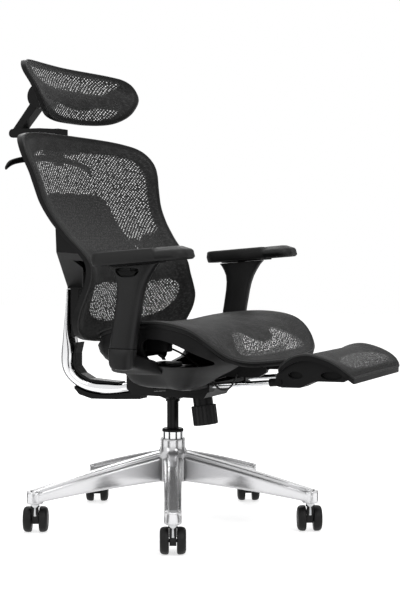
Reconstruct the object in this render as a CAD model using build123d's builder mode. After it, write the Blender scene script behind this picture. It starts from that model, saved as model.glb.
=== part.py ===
from build123d import *
import os
from math import asin, atan2, cos, degrees, hypot, radians, sin

# A reclining office chair with mesh seat, mesh back, headrest and a fold-out footrest, in millimetres.
# It is laid out from the lift column: forward is -Y, the sitter's left is +X, the floor is Z = 0.
# Each finished part is moved by COLUMN_X, COLUMN_Y, so that the origin lies on the floor under the
# middle of the chair. The chair stands as it is used: leaned back a little, footrest folded out.

COLUMN_X = -25.7
COLUMN_Y = 30.5

# Planes whose own coordinates read (forward, up), (left, up) and (left, forward).
SIDE = Plane(origin=(0, 0, 0), x_dir=(0, -1, 0), z_dir=(-1, 0, 0))
FRONT = Plane(origin=(0, 0, 0), x_dir=(1, 0, 0), z_dir=(0, -1, 0))
PLAN = Plane(origin=(0, 0, 0), x_dir=(1, 0, 0), z_dir=(0, 0, -1))

# Clearances
RUNNING = 0.05                # radial, a shaft turning or sliding in its bore
GAP = 0.3                     # between faces that pass each other
FLAT = 12.0                   # half length of the straight that closes an outline at the middle line

# --- Star base ---
SPOKES = 5
SPOKE_TURN = -80.6            # direction of the first spoke, degrees from +X
STEM_CIRCLE = 336.0           # radius on which the casters stand
SPOKE_ROUND = 4.0
HUB_R = 30.0
HUB_TOP = 206.0
HUB_BOTTOM = 106.0
SPOKE_WALL = 5.0
BOSS_R = 19.0
BOSS_TOP = 97.0
BOSS_BOTTOM = 70.0

# --- Casters ---
WHEEL_R = 30.0
WHEEL_WIDTH = 21.0
WHEEL_GAP = 17.0
CASTER_TRAIL = 14.0
CASTER_AIM = 27.4             # direction the wheels roll, degrees from +X
STEM_R = 5.5
STEM_TOP = 92.0
NECK_R = 8.0
AXLE_R = 4.0

# --- Gas lift ---
TUBE_R = 25.0
TUBE_BOTTOM_R = 21.0
TUBE_BOTTOM = 48.0
TAPER_TOP = 170.0
TUBE_TOP = 223.0
TUBE_BORE_R = 18.5
FLOOR_THICK = 6.0
LIFT_R = 14.0
LIFT_BORE_R = 12.0
LIFT_BOTTOM = 135.0
LIFT_TOP = 345.0
ROD_R = 5.0
ROD_TOP = 240.0
PISTON_LENGTH = 14.0

# --- Mechanism ---
PIVOT_F = -50.0               # recline pivot, forward of the column
PIVOT_Z = 345.0
PIVOT_R = 6.0
BOX_HALF = 62.0
BOX_FRONT = 126.0
BOX_REAR = -92.0
BOX_BOTTOM = 312.0
BOX_TOP = 378.0
ARM_SLOT_HALF = 24.0
KNOB_R = 29.5
KNOB_HEIGHT = 46.0
KNOB_F = 82.0
KNOB_TOP = 289.0
KNOB_TILT = 8.0
KNOB_NECK_R = 23.5
SPINDLE_R = 6.0

# --- Seat ---
SEAT_LINE = [(-152, 446), (-105, 461), (-60, 476), (0, 491), (60, 499), (110, 501), (160, 496),
             (205, 481), (240, 452), (265, 427), (303, 408)]
SEAT_OUTLINE = [(0, -106), (90, -103), (158, -88), (204, -60), (234, -20), (252, 45), (276, 110), (293, 170),
                (288, 225), (238, 268), (130, 294), (0, 303)]
RING_THICK = 20.0
RING_WIDTH = 24.0
MESH_THICK = 4.0
BOWL_MIDDLE = 75.0
BOWL_STATIONS = [(350, 0.40), (362, 0.57), (382, 0.75), (405, 0.90), (440, 0.965), (515, 0.985)]
BOWL_WALL = 9.0
EYE = [(57, 456), (117, 459), (166, 447), (200, 429), (207, 417), (182, 408), (129, 405), (87, 410), (55, 426)]

# --- Armrests ---
ARM_L = 282.0
ARM_HALF = 14.0
SOCKET_TOP = 441.0
SOCKET_F = 23.0
POST_DEPTH = 62.0
POST_TOP_F = 50.0
POST_TOP = 597.0
PAD_F = 71.0
PAD_LENGTH = 250.0
PAD_WIDTH = 84.0
PAD_THICK = 18.0
PAD_TILT = 4.6
PAD_L = 290.0
PAD_TOP_Z = 652.0
SOCKET_BASE = 402.0
SOCKET_HALF = 18.5
BLADE_HALF = 8.0
BLADE_DEPTH = 42.0
BLADE_HEIGHT = 142.0
POST_LEAN = 9.8
BASE_THICK = 7.0
RAIL_HALF = 14.0
RAIL_LENGTH = 90.0
RAIL_HEIGHT = 8.0
PAD_TRAVEL_OUT = 30.0
PAD_TRAVEL_IN = 12.0
SWIVEL_R = 10.0
SWIVEL_DEPTH = 12.0
BUTTON_THICK = 7.0
BUTTON_TRAVEL = 3.0

# --- Back arm and upright ---
ARM_BOSS_R = 18.0
BACK_ARM_HALF = 22.5
ARM_OUTER = [(-74, 318), (-130, 308), (-202, 303), (-243, 311), (-281, 332), (-302, 361), (-306, 385), (-297, 428),
             (-285, 472)]
ARM_INNER = [(-60, 360), (-131, 332), (-168, 331), (-222, 334), (-251, 348), (-267, 368), (-267, 402), (-258, 436),
             (-252, 472)]
ARM_TOP = 472.0
UPRIGHT_REAR = -276.0
UPRIGHT_FRONT = -252.0
UPRIGHT_HALF = 16.0
UPRIGHT_TOP = 636.0
TENON_DEPTH = 30.0
TENON_HALF = 14.0
TENON_FRONT = -261.0
SLEEVE_REAR = -281.0
SLEEVE_FRONT = -238.0
SLEEVE_HALF = 21.0
SLEEVE_BOTTOM = 560.0
SLEEVE_HEIGHT = 84.0

# --- Back: height, and how far forward its reference surface lies on the middle line ---
BACK_LINE = [(436, -126), (446, -130), (462, -135.5), (480, -138), (500, -134), (520, -128), (540, -121), (560, -116),
             (580, -112.5), (600, -112), (620, -114), (640, -125), (660, -142), (680, -162), (700, -179),
             (720, -195), (740, -208), (760, -219), (780, -227), (800, -233), (820, -239), (840, -245.5),
             (860, -254), (880, -263), (900, -273), (920, -283.5), (940, -295)]
BACK_CURVE = 0.00046
BACK_OUTLINE = [(0, 936), (150, 933), (240, 924), (290, 904), (304, 878), (296, 838), (284, 790), (273, 740),
                (262, 700), (249, 658), (242, 628), (246, 598), (262, 566), (278, 538), (283, 515), (276, 488),
                (254, 464), (210, 451), (120, 444), (0, 442)]
FRAME_FRONT = 7.0
FRAME_REAR = -9.0
FRAME_WIDTH = 15.0
MESH_HALF = 2.0
LUMBAR_FRONT = -44.0
LUMBAR_REAR = -53.0
LUMBAR_Z = 696.5
LUMBAR_HALF = 141.0
LUMBAR_HEIGHT = 193.0
BRACKET_CLEAR = 200.0
WING_WALL = 8.0
WING_START = [(-281, 563), (-281, 640), (-238, 640), (-238, 563)]
WING_END = [(-172, 652), (-174, 706), (-120, 704), (-100, 648)]
WING_L = (20, 244)
WINDOW_L = 150.0
WINDOW_Z = 648.0
WINDOW_TURN = 19.0

# --- Coat hanger: left, forward, up ---
HANGER_LINE = [(-216, -348, 861), (-180, -342, 873), (-90, -336, 880), (0, -335, 882), (90, -336, 880),
               (180, -342, 873), (216, -348, 861)]

# --- Headrest ---
HEAD_LINE = [(956, -283), (966, -279), (976, -273), (986, -269), (1000, -267), (1014, -269), (1028, -273),
             (1044, -280), (1060, -290), (1076, -298.5), (1092, -304.5), (1108, -310)]
HEAD_CURVE = 0.00075
HEAD_OUTLINE = [(0, 1103), (120, 1102), (200, 1098), (236, 1090), (252, 1076), (254, 1060), (247, 1044), (236, 1030),
                (222, 1016), (205, 1002), (185, 990), (155, 978), (110, 970), (60, 966.5), (0, 966)]
HEAD_FRONT = 6.0
HEAD_REAR = -8.0
HEAD_WIDTH = 11.0
LINK_F = -440.0
LINK_Z = 947.0
TILT_F = -362.0
TILT_Z = 1036.0
TILT_BOSS_R = 30.0
LINK_HALF = 22.0
PIN_R = 4.0
STEM_HALF = 12.0
STEM_REAR = -325.0
STEM_FRONT = -311.0
STEM_FOOT = 864.0
MOUNT_TOP = 938.0
MOUNT_BOTTOM = 892.0
MOUNT_REAR = -345.0
MOUNT_HALF = 32.0
FORK_HALF = 16.0
TILT_BOSS_HALF = 27.0
RIB_Z = 1029.0
RIB_HEIGHT = 34.0

# --- Footrest ---
FOOT_LINE = [(338, 388), (343, 398), (352, 409), (368, 422), (390, 432), (412, 435), (440, 431), (465, 423),
             (488, 411), (505, 396), (514, 384)]
FOOT_HALF = 176.0
FOOT_BACK = 340.0
FOOT_FRONT = 512.0
FOOT_THICK = 14.0
FOOT_WIDTH = 16.0
FOOT_ROUND = 26.0
ROD_L = 100.0
FOOT_ROD_R = 6.0
FOOT_ROD_F = 322.0
FOOT_ROD_Z = 364.5
FOOT_ROD_TILT = 5.5
FOOT_ROD_LENGTH = 320.0
HINGE_F = 348.0
HINGE_Z = 372.0
HINGE_R = 5.0
FOOT_PLATE_L = 164.0
FOOT_PLATE = [(338, 380), (345, 364), (352, 360), (394, 361), (426, 376), (440, 377), (494, 378), (506, 384),
              (504, 388), (486, 403), (463, 414), (440, 422), (412, 426), (391, 423), (370, 413), (355, 401),
              (341, 390)]

# --- Control cable: left, forward, up ---
CABLE_R = 2.2
CABLE_LINE = [(-58, 10, 430), (-76, 50, 424), (-100, 105, 402), (-117, 145, 378), (-121, 168, 354),
              (-121, 185, 341), (-117, 203, 344), (-112, 214, 362), (-106, 218, 378)]


def outline(plane, points):
    """A face with straight sides through the given corners."""
    with BuildSketch(plane) as face:
        with BuildLine():
            Polyline(*points, close=True)
        make_face()
    return face.sketch


def smooth_outline(plane, half):
    """A face inside a smooth curve, alike on both sides, from the half that starts on the middle line.

    The curve is straight for a short way where it crosses the middle line.
    """
    start = (FLAT, half[0][1])
    end = (FLAT, half[-1][1])
    with BuildSketch(plane) as face:
        with BuildLine():
            for side in (1, -1):
                Spline(*[(side * across, along) for across, along in [start] + half[1:-1] + [end]])
            Line((-FLAT, half[0][1]), start)
            Line((-FLAT, half[-1][1]), end)
        make_face()
    return face.sketch


def inset(half, amount):
    """The points of a half outline, drawn in by an amount square to the curve."""
    turn = 1 if half[0][1] < half[-1][1] else -1
    loop = [(-half[1][0], half[1][1])] + half + [(-half[-2][0], half[-2][1])]
    points = []
    for before, (across, along), after in zip(loop, half, loop[2:]):
        length = hypot(after[0] - before[0], after[1] - before[1])
        points.append((across - turn * amount * (after[1] - before[1]) / length,
                       along + turn * amount * (after[0] - before[0]) / length))
    return points


def band(line, top, bottom):
    """A strip on the side plane that follows a line, between two heights above it."""
    with BuildSketch(SIDE) as face:
        with BuildLine():
            upper = Spline(*[(f, z + top) for f, z in line])
            lower = Spline(*[(f, z + bottom) for f, z in line])
            Line(upper @ 0, lower @ 0)
            Line(upper @ 1, lower @ 1)
        make_face()
    return face.sketch


def save(piece, label):
    """Set a finished part on the chair's own frame, name it and write it."""
    placed = piece.part.moved(Location((COLUMN_X, COLUMN_Y, 0)))
    placed.label = label
    export_step(placed, f"parts/{label}.step")


os.makedirs("parts", exist_ok=True)

# ---------------------------------------------------------------- star base

# Along the spoke: radius, width, top, bottom of the body, then width and top of the ridge.
SPOKE_STATIONS = [(38, 46, 163, HUB_BOTTOM), (150, 41, 139, 96), (STEM_CIRCLE + 8, 37, 91, 71)]
RIDGE_STATIONS = [(30, 28, 176, 150), (150, 26, 149, 125), (STEM_CIRCLE + 8, 25, 99, 84)]


def spoke_section(radius, width, top, bottom):
    """A rounded rectangle standing across a spoke that runs along +X."""
    plane = Plane(origin=(radius, 0, (top + bottom) / 2), x_dir=(0, 1, 0), z_dir=(1, 0, 0))
    with BuildSketch(plane) as face:
        RectangleRounded(width, top - bottom, SPOKE_ROUND)
    return face.sketch


def tube_taper(height):
    """Outer radius of the lift's outer tube at a height in its tapered part."""
    share = (height - TUBE_BOTTOM) / (TAPER_TOP - TUBE_BOTTOM)
    return TUBE_BOTTOM_R + share * (TUBE_R - TUBE_BOTTOM_R)


with BuildPart() as spoke:
    loft([spoke_section(*station) for station in SPOKE_STATIONS])
    loft([spoke_section(*station) for station in RIDGE_STATIONS])
    with Locations((STEM_CIRCLE, 0, BOSS_BOTTOM)):
        Cylinder(BOSS_R, BOSS_TOP - BOSS_BOTTOM, align=(Align.CENTER, Align.CENTER, Align.MIN))

with BuildPart() as spoke_hollow:
    loft([spoke_section(radius, width - 2 * SPOKE_WALL, top - 2 * SPOKE_WALL, bottom - SPOKE_WALL)
          for radius, width, top, bottom in
          [(58, 44, 158, HUB_BOTTOM), (150, 41, 139, 96), (STEM_CIRCLE - BOSS_R - 6, 37, 98, 74)]])

with BuildPart() as star_base:
    with PolarLocations(0, SPOKES, start_angle=SPOKE_TURN):
        add(spoke.part)
    revolve(outline(Plane.XZ, [(0, HUB_BOTTOM), (41, HUB_BOTTOM), (41, 158), (36, 172), (31, 182),
                               (HUB_R, 186), (HUB_R, HUB_TOP), (0, HUB_TOP)]), axis=Axis.Z)
    with PolarLocations(0, SPOKES, start_angle=SPOKE_TURN):
        add(spoke_hollow.part, mode=Mode.SUBTRACT)
    revolve(outline(Plane.XZ, [(0, HUB_BOTTOM - 1), (tube_taper(HUB_BOTTOM - 1), HUB_BOTTOM - 1),
                               (TUBE_R, TAPER_TOP), (TUBE_R, HUB_TOP + 1), (0, HUB_TOP + 1)]),
            axis=Axis.Z, mode=Mode.SUBTRACT)
    with PolarLocations(STEM_CIRCLE, SPOKES, start_angle=SPOKE_TURN):
        with Locations((0, 0, BOSS_BOTTOM - 1)):
            Cylinder(STEM_R + RUNNING, STEM_TOP + GAP - BOSS_BOTTOM + 1,
                     align=(Align.CENTER, Align.CENTER, Align.MIN), mode=Mode.SUBTRACT)
save(star_base, "star_base")

# ---------------------------------------------------------------- casters


def across_wheel(x, y):
    """The plane through the axle of a caster on a stem at x, y, normal to the axle."""
    aim = radians(CASTER_AIM)
    return Plane(origin=(x + CASTER_TRAIL * cos(aim), y + CASTER_TRAIL * sin(aim), WHEEL_R),
                 x_dir=(cos(aim), sin(aim), 0), z_dir=(sin(aim), -cos(aim), 0))


for number in range(SPOKES):
    turn = radians(SPOKE_TURN + number * 360 / SPOKES)
    stem_x = STEM_CIRCLE * cos(turn)
    stem_y = STEM_CIRCLE * sin(turn)
    wheel_plane = across_wheel(stem_x, stem_y)

    with BuildPart() as caster_body:
        with Locations((stem_x, stem_y, BOSS_BOTTOM - 9)):
            Cylinder(STEM_R, STEM_TOP - BOSS_BOTTOM + 9, align=(Align.CENTER, Align.CENTER, Align.MIN))
        with Locations((stem_x, stem_y, BOSS_BOTTOM - 9)):
            Cylinder(NECK_R + 2, 9 - GAP, align=(Align.CENTER, Align.CENTER, Align.MIN))
        with BuildSketch(wheel_plane):
            with BuildLine():
                Polyline((-CASTER_TRAIL - NECK_R, BOSS_BOTTOM - 9 - WHEEL_R), (-CASTER_TRAIL - NECK_R, 14),
                         (-9, -10), (9, -10), (13, 4), (-CASTER_TRAIL + NECK_R, 24),
                         (-CASTER_TRAIL + NECK_R, BOSS_BOTTOM - 9 - WHEEL_R), close=True)
            make_face()
        extrude(amount=WHEEL_GAP / 2 - 1, both=True)
        with BuildSketch(wheel_plane):
            Circle(AXLE_R)
        extrude(amount=WHEEL_GAP / 2 + WHEEL_WIDTH - 5, both=True)
    save(caster_body, f"caster_body_{number + 1}")

    with BuildPart() as caster_wheels:
        for side in (1, -1):
            with BuildSketch(wheel_plane.offset(side * WHEEL_GAP / 2)):
                Circle(WHEEL_R)
            extrude(amount=side * WHEEL_WIDTH)
        rims = caster_wheels.edges().filter_by(GeomType.CIRCLE)
        fillet(rims.filter_by(lambda edge: edge.radius > WHEEL_R - 1), 4)
        with BuildSketch(wheel_plane):
            Circle(AXLE_R + RUNNING)
        extrude(amount=WHEEL_GAP / 2 + WHEEL_WIDTH - 5 + GAP, both=True, mode=Mode.SUBTRACT)
        for side in (1, -1):
            with BuildSketch(wheel_plane.offset(side * (WHEEL_GAP / 2 + WHEEL_WIDTH - 3))):
                Circle(WHEEL_R - 7)
            extrude(amount=side * 4, mode=Mode.SUBTRACT)
    save(caster_wheels, f"caster_wheels_{number + 1}")

# ---------------------------------------------------------------- gas lift

FLOOR_TOP = TUBE_BOTTOM + FLOOR_THICK
BEARING_THICK = 8.0
BUSHING_BOTTOM = TUBE_TOP - 93

with BuildPart() as gas_lift_outer_tube:
    revolve(outline(Plane.XZ, [(ROD_R + RUNNING, TUBE_BOTTOM), (TUBE_BOTTOM_R, TUBE_BOTTOM),
                               (TUBE_R, TAPER_TOP), (TUBE_R, TUBE_TOP), (TUBE_BORE_R, TUBE_TOP),
                               (TUBE_BORE_R, FLOOR_TOP), (ROD_R + RUNNING, FLOOR_TOP)]), axis=Axis.Z)
save(gas_lift_outer_tube, "gas_lift_outer_tube")

with BuildPart() as gas_lift_bushing:
    revolve(outline(Plane.XZ, [(LIFT_R + RUNNING, BUSHING_BOTTOM), (TUBE_BORE_R, BUSHING_BOTTOM),
                               (TUBE_BORE_R, TUBE_TOP), (TUBE_R + 0.6, TUBE_TOP), (TUBE_R + 0.6, TUBE_TOP + 5),
                               (TUBE_R - 1.5, TUBE_TOP + 7), (LIFT_R + RUNNING, TUBE_TOP + 7)]),
            axis=Axis.Z)
save(gas_lift_bushing, "gas_lift_bushing")

with BuildPart() as gas_lift_bearing:
    revolve(outline(Plane.XZ, [(ROD_R + RUNNING, FLOOR_TOP), (14, FLOOR_TOP), (14, FLOOR_TOP + BEARING_THICK),
                               (ROD_R + RUNNING, FLOOR_TOP + BEARING_THICK)]), axis=Axis.Z)
save(gas_lift_bearing, "gas_lift_bearing")

with BuildPart() as gas_lift_rod:
    collar = FLOOR_TOP + BEARING_THICK
    revolve(outline(Plane.XZ, [(0, TUBE_BOTTOM - 5), (ROD_R, TUBE_BOTTOM - 5), (ROD_R, collar + GAP),
                               (11, collar + GAP), (11, collar + 4), (ROD_R, collar + 4),
                               (ROD_R, ROD_TOP - PISTON_LENGTH), (LIFT_BORE_R - RUNNING, ROD_TOP - PISTON_LENGTH),
                               (LIFT_BORE_R - RUNNING, ROD_TOP), (0, ROD_TOP)]), axis=Axis.Z)
save(gas_lift_rod, "gas_lift_rod")

with BuildPart() as gas_lift_clip:
    revolve(outline(Plane.XZ, [(ROD_R, TUBE_BOTTOM - 4), (10, TUBE_BOTTOM - 4), (10, TUBE_BOTTOM - GAP),
                               (ROD_R, TUBE_BOTTOM - GAP)]), axis=Axis.Z)
save(gas_lift_clip, "gas_lift_clip")

with BuildPart() as gas_lift_tube:
    revolve(outline(Plane.XZ, [(ROD_R + RUNNING, LIFT_BOTTOM), (LIFT_R, LIFT_BOTTOM), (LIFT_R, LIFT_TOP),
                               (0, LIFT_TOP), (0, LIFT_TOP - 28), (LIFT_BORE_R, LIFT_TOP - 28),
                               (LIFT_BORE_R, LIFT_BOTTOM + 8), (ROD_R + RUNNING, LIFT_BOTTOM + 8)]),
            axis=Axis.Z)
save(gas_lift_tube, "gas_lift_tube")

# ---------------------------------------------------------------- mechanism under the seat


GUIDE_HALF = 14.0
GUIDE_REAR = 40.0
GUIDE_NOSE_F = 95.0
GUIDE_FRONT = 152.0
SCREWS_F = (20, 42)
SCREW_Z = 416.0
SCREW_R = 3.0
SCREW_HEAD_R = 5.5
SCREW_SEAT_L = 222.0
SCREW_LENGTH = 30.0
CONE_TOP = BOX_BOTTOM + 3
SOCKET_BOTTOM = 295.0
BOWL_FLOOR = BOWL_STATIONS[0][0] + BOWL_WALL
FLANGE_REAR = 38.0
FLANGE_FRONT = 138.0
FLANGE_HALF = 78.0
FLANGE_THICK = 7.0
BOLT_R = 4.0
BOLT_HEAD_R = 7.0
BOLT_PLACES = [(70, 50), (70, 128), (-70, 50), (-70, 128)]
LEVER_R = 5.0
LEVERS = [("height_lever", -18, 330, 205), ("recline_lever", -68, 328, 190)]

with BuildPart() as mechanism_housing:
    with BuildSketch(SIDE):
        with BuildLine():
            Polyline((BOX_REAR, BOX_BOTTOM + 14), (BOX_REAR + 16, BOX_BOTTOM), (BOX_FRONT - 14, BOX_BOTTOM),
                     (BOX_FRONT, BOX_BOTTOM + 20), (BOX_FRONT, BOX_TOP - 12), (BOX_FRONT - 24, BOX_TOP),
                     (BOX_REAR + 30, BOX_TOP), (BOX_REAR, BOX_TOP - 16), close=True)
        make_face()
    extrude(amount=BOX_HALF, both=True)
    fillet(mechanism_housing.edges().filter_by(Axis.X), 5)
    revolve(outline(Plane.XZ, [(0, SOCKET_BOTTOM), (17, SOCKET_BOTTOM), (17, SOCKET_BOTTOM + 5),
                               (21, SOCKET_BOTTOM + 7), (38, CONE_TOP), (38, CONE_TOP + 10), (0, CONE_TOP + 10)]),
            axis=Axis.Z)
    # Ribs that stiffen the cone under the box.
    for rib in range(8):
        rib_plane = Plane.XZ.rotated((0, 0, 22.5 + rib * 45))
        with BuildSketch(rib_plane):
            with BuildLine():
                Polyline((15, SOCKET_BOTTOM + 4), (58, BOX_BOTTOM + 4), (15, BOX_BOTTOM + 4), close=True)
            make_face()
        extrude(amount=1.6, both=True)
    # Flange that seats on the floor of the seat frame.
    with Locations((0, -(FLANGE_REAR + FLANGE_FRONT) / 2, BOWL_FLOOR)):
        Box(2 * FLANGE_HALF, FLANGE_FRONT - FLANGE_REAR, FLANGE_THICK,
            align=(Align.CENTER, Align.CENTER, Align.MIN))
    # Pockets for the springs, open above.
    with Locations((0, -(24 + BOX_FRONT - 6) / 2, BOX_BOTTOM + 12)):
        Box(2 * BOX_HALF - 12, BOX_FRONT - 30, 90, align=(Align.CENTER, Align.CENTER, Align.MIN),
            mode=Mode.SUBTRACT)
    for side in (1, -1):
        with Locations((side * (ARM_SLOT_HALF + BOX_HALF) / 2, -(BOX_REAR - 12) / 2, BOX_BOTTOM + 12)):
            Box(BOX_HALF - ARM_SLOT_HALF - 12, -BOX_REAR - 24, 90, align=(Align.CENTER, Align.CENTER, Align.MIN),
                mode=Mode.SUBTRACT)
    # Slot at the rear for the foot of the back arm, open above and below.
    with Locations((0, -(BOX_REAR + PIVOT_F + 26) / 2, (BOX_BOTTOM + BOX_TOP) / 2)):
        Box(2 * ARM_SLOT_HALF, PIVOT_F + 26 - BOX_REAR + 2, BOX_TOP - BOX_BOTTOM + 60, mode=Mode.SUBTRACT)
    with BuildSketch(SIDE):
        with Locations((PIVOT_F, PIVOT_Z)):
            Circle(PIVOT_R)
    extrude(amount=BOX_HALF + 1, both=True, mode=Mode.SUBTRACT)
    # Spring cup that carries the tension knob, leaned with the knob.
    cup_plane = Plane(origin=(0, -KNOB_F, KNOB_TOP + GAP), x_dir=(1, 0, 0),
                      z_dir=(0, sin(radians(KNOB_TILT)), cos(radians(KNOB_TILT))))
    with BuildSketch(cup_plane):
        Circle(KNOB_NECK_R)
    extrude(amount=BOX_BOTTOM - KNOB_TOP + 14)
    with BuildSketch(cup_plane.offset(-1)):
        Circle(SPINDLE_R + RUNNING)
    extrude(amount=31, mode=Mode.SUBTRACT)
    with Locations((0, 0, SOCKET_BOTTOM - 1)):
        Cylinder(LIFT_R, LIFT_TOP - SOCKET_BOTTOM + 1, align=(Align.CENTER, Align.CENTER, Align.MIN),
                 mode=Mode.SUBTRACT)
    with Locations(*[(left, -forward, BOWL_FLOOR - 1) for left, forward in BOLT_PLACES]):
        Cylinder(BOLT_R, FLANGE_THICK + 2, align=(Align.CENTER, Align.CENTER, Align.MIN), mode=Mode.SUBTRACT)
    for _, lever_f, lever_z, _ in LEVERS:
        with BuildSketch(SIDE.offset(-BOX_HALF + 12)):
            with Locations((lever_f, lever_z)):
                Circle(LEVER_R + RUNNING)
        extrude(amount=-14, mode=Mode.SUBTRACT)
save(mechanism_housing, "mechanism_housing")

with BuildPart() as seat_bolts:
    with Locations(*[(left, -forward, BOWL_STATIONS[0][0]) for left, forward in BOLT_PLACES]):
        Cylinder(BOLT_R, BOWL_WALL + FLANGE_THICK + 1, align=(Align.CENTER, Align.CENTER, Align.MIN))
    with Locations(*[(left, -forward, BOWL_FLOOR + FLANGE_THICK) for left, forward in BOLT_PLACES]):
        Cylinder(BOLT_HEAD_R, 5, align=(Align.CENTER, Align.CENTER, Align.MIN))
    # Screws of the two armrest brackets.
    for side in (1, -1):
        for screw_f in SCREWS_F:
            with BuildSketch(SIDE.offset(-side * SCREW_SEAT_L)):
                with Locations((screw_f, SCREW_Z)):
                    Circle(SCREW_R)
            extrude(amount=-side * SCREW_LENGTH)
            with BuildSketch(SIDE.offset(-side * SCREW_SEAT_L)):
                with Locations((screw_f, SCREW_Z)):
                    Circle(SCREW_HEAD_R)
            extrude(amount=side * 4)
save(seat_bolts, "seat_bolts")

# A control box on the housing, seen through the openings in the sides of the seat.
with BuildPart() as mechanism_cover:
    extrude(outline(SIDE, [(-62, BOX_TOP), (-12, BOX_TOP), (-12, 404), (4, 412), (22, 414), (22, 440),
                           (16, 447), (-44, 447), (-62, 430)]), amount=BOX_HALF - 4, both=True)
save(mechanism_cover, "mechanism_cover")

for label, lever_f, lever_z, reach in LEVERS:
    with BuildPart() as lever:
        with BuildSketch(SIDE.offset(-BOX_HALF + 12)):
            with Locations((lever_f, lever_z)):
                Circle(LEVER_R)
        extrude(amount=-(reach - BOX_HALF + 12))
        with Locations((reach, -lever_f, lever_z)):
            Box(60, 34, 9)
        fillet(lever.edges().filter_by(Axis.Z), 9)
    save(lever, label)

with BuildPart() as recline_pin:
    with BuildSketch(SIDE):
        with Locations((PIVOT_F, PIVOT_Z)):
            Circle(PIVOT_R)
    extrude(amount=BOX_HALF, both=True)
    for side in (1, -1):
        with BuildSketch(SIDE.offset(side * BOX_HALF)):
            with Locations((PIVOT_F, PIVOT_Z)):
                Circle(PIVOT_R + 5)
        extrude(amount=side * 4)
save(recline_pin, "recline_pin")

with BuildPart() as tension_knob:
    knob_plane = Plane(origin=(0, -KNOB_F, KNOB_TOP), x_dir=(1, 0, 0),
                       z_dir=(0, -sin(radians(KNOB_TILT)), -cos(radians(KNOB_TILT))))
    with BuildSketch(knob_plane):
        Circle(KNOB_R)
        with PolarLocations(KNOB_R, 20):
            Circle(1.6, mode=Mode.SUBTRACT)
    extrude(amount=KNOB_HEIGHT)
    fillet(tension_knob.faces().sort_by(Axis.Z)[0].outer_wire().edges().filter_by(GeomType.CIRCLE), 2.5)
    with BuildSketch(knob_plane.offset(1)):
        Circle(SPINDLE_R)
    extrude(amount=-28)
save(tension_knob, "tension_knob")

# ---------------------------------------------------------------- seat


def scaled_outline(height, scale):
    """The seat's plan outline at a height, drawn in towards the middle of the seat."""
    points = [(left * scale, BOWL_MIDDLE + (forward - BOWL_MIDDLE) * scale)
              for left, forward in SEAT_OUTLINE]
    return smooth_outline(PLAN.offset(-height), points)


with BuildPart() as seat_ring:
    extrude(band(SEAT_LINE, 0, -RING_THICK), amount=330, both=True)
    seat_rim = smooth_outline(PLAN, SEAT_OUTLINE)
    extrude(seat_rim, amount=-600, mode=Mode.INTERSECT)
    seat_window = smooth_outline(PLAN, inset(SEAT_OUTLINE, RING_WIDTH))
    extrude(seat_window, amount=-600, mode=Mode.SUBTRACT)
save(seat_ring, "seat_ring")

with BuildPart() as seat_mesh:
    extrude(band(SEAT_LINE, -4, -4 - MESH_THICK), amount=330, both=True)
    extrude(seat_window, amount=-600, mode=Mode.INTERSECT)
save(seat_mesh, "seat_mesh")

with BuildPart() as seat_frame:
    loft([scaled_outline(height, scale) for height, scale in BOWL_STATIONS])
    loft([scaled_outline(height + BOWL_WALL, scale - 0.04) for height, scale in BOWL_STATIONS],
         mode=Mode.SUBTRACT)
    # The rim meets the underside of the seat ring.
    with BuildSketch(SIDE):
        with BuildLine():
            under_ring = Spline(*[(f, z - RING_THICK) for f, z in SEAT_LINE])
            Polyline(under_ring @ 0, (-190, 430), (-190, 600), (340, 600), (340, 380), under_ring @ 1)
        make_face()
    extrude(amount=330, both=True, mode=Mode.SUBTRACT)
    # Openings in the two side wings.
    for side in (1, -1):
        with BuildSketch(SIDE.offset(side * 150)):
            with BuildLine():
                Spline(*EYE, periodic=True)
            make_face()
        extrude(amount=side * 200, mode=Mode.SUBTRACT)
    # Open front between the wings, and the opening that the mechanism box fills.
    with Locations((0, -235, 400)):
        Box(330, 170, 140, mode=Mode.SUBTRACT)
    with Locations((0, -(BOX_FRONT + BOX_REAR - 60) / 2, 360)):
        Box(2 * BOX_HALF + 2 * GAP, BOX_FRONT - BOX_REAR + 60 + 2 * GAP, 80, mode=Mode.SUBTRACT)
    with Locations(*[(left, -forward, BOWL_STATIONS[0][0] - 1) for left, forward in BOLT_PLACES]):
        Cylinder(BOLT_R, BOWL_WALL + 2, align=(Align.CENTER, Align.CENTER, Align.MIN), mode=Mode.SUBTRACT)
    # Slots for the noses of the footrest guides.
    for side in (1, -1):
        with Locations((side * ROD_L, -(GUIDE_NOSE_F + 160) / 2, BOWL_FLOOR)):
            Box(2 * GUIDE_HALF + 2 * GAP, 160 - GUIDE_NOSE_F + 2 * GAP, 40, mode=Mode.SUBTRACT)
    # Counterbored holes for the screws of the armrest brackets.
    for side in (1, -1):
        for screw_f in SCREWS_F:
            with BuildSketch(SIDE.offset(-side * SCREW_SEAT_L)):
                with Locations((screw_f, SCREW_Z)):
                    Circle(SCREW_HEAD_R + GAP)
            extrude(amount=side * 40, mode=Mode.SUBTRACT)
            with BuildSketch(SIDE.offset(-side * (SCREW_SEAT_L - 1))):
                with Locations((screw_f, SCREW_Z)):
                    Circle(SCREW_R)
            extrude(amount=-side * 40, mode=Mode.SUBTRACT)
save(seat_frame, "seat_frame")

# The whole bowl without its hollow, which shapes what seats against its outside.
with BuildPart() as bowl_body:
    loft([scaled_outline(height, scale) for height, scale in BOWL_STATIONS])

# ---------------------------------------------------------------- armrests

LEAN = radians(POST_LEAN)
BLADE_ROOT = 30.0
RAIL_BACK = 10.0
BASE_L = 288.0
BUTTON_FACE = [(16, 612), (66, 612), (57, 602), (25, 602)]
PAD_RISE = radians(PAD_TILT)


def lean_plane(middle):
    """Plane across the leaning post at the socket's top: local x is left, local y is rearward."""
    return Plane(origin=(middle, -SOCKET_F, SOCKET_TOP), x_dir=(1, 0, 0), z_dir=(0, -sin(LEAN), cos(LEAN)))


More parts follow.
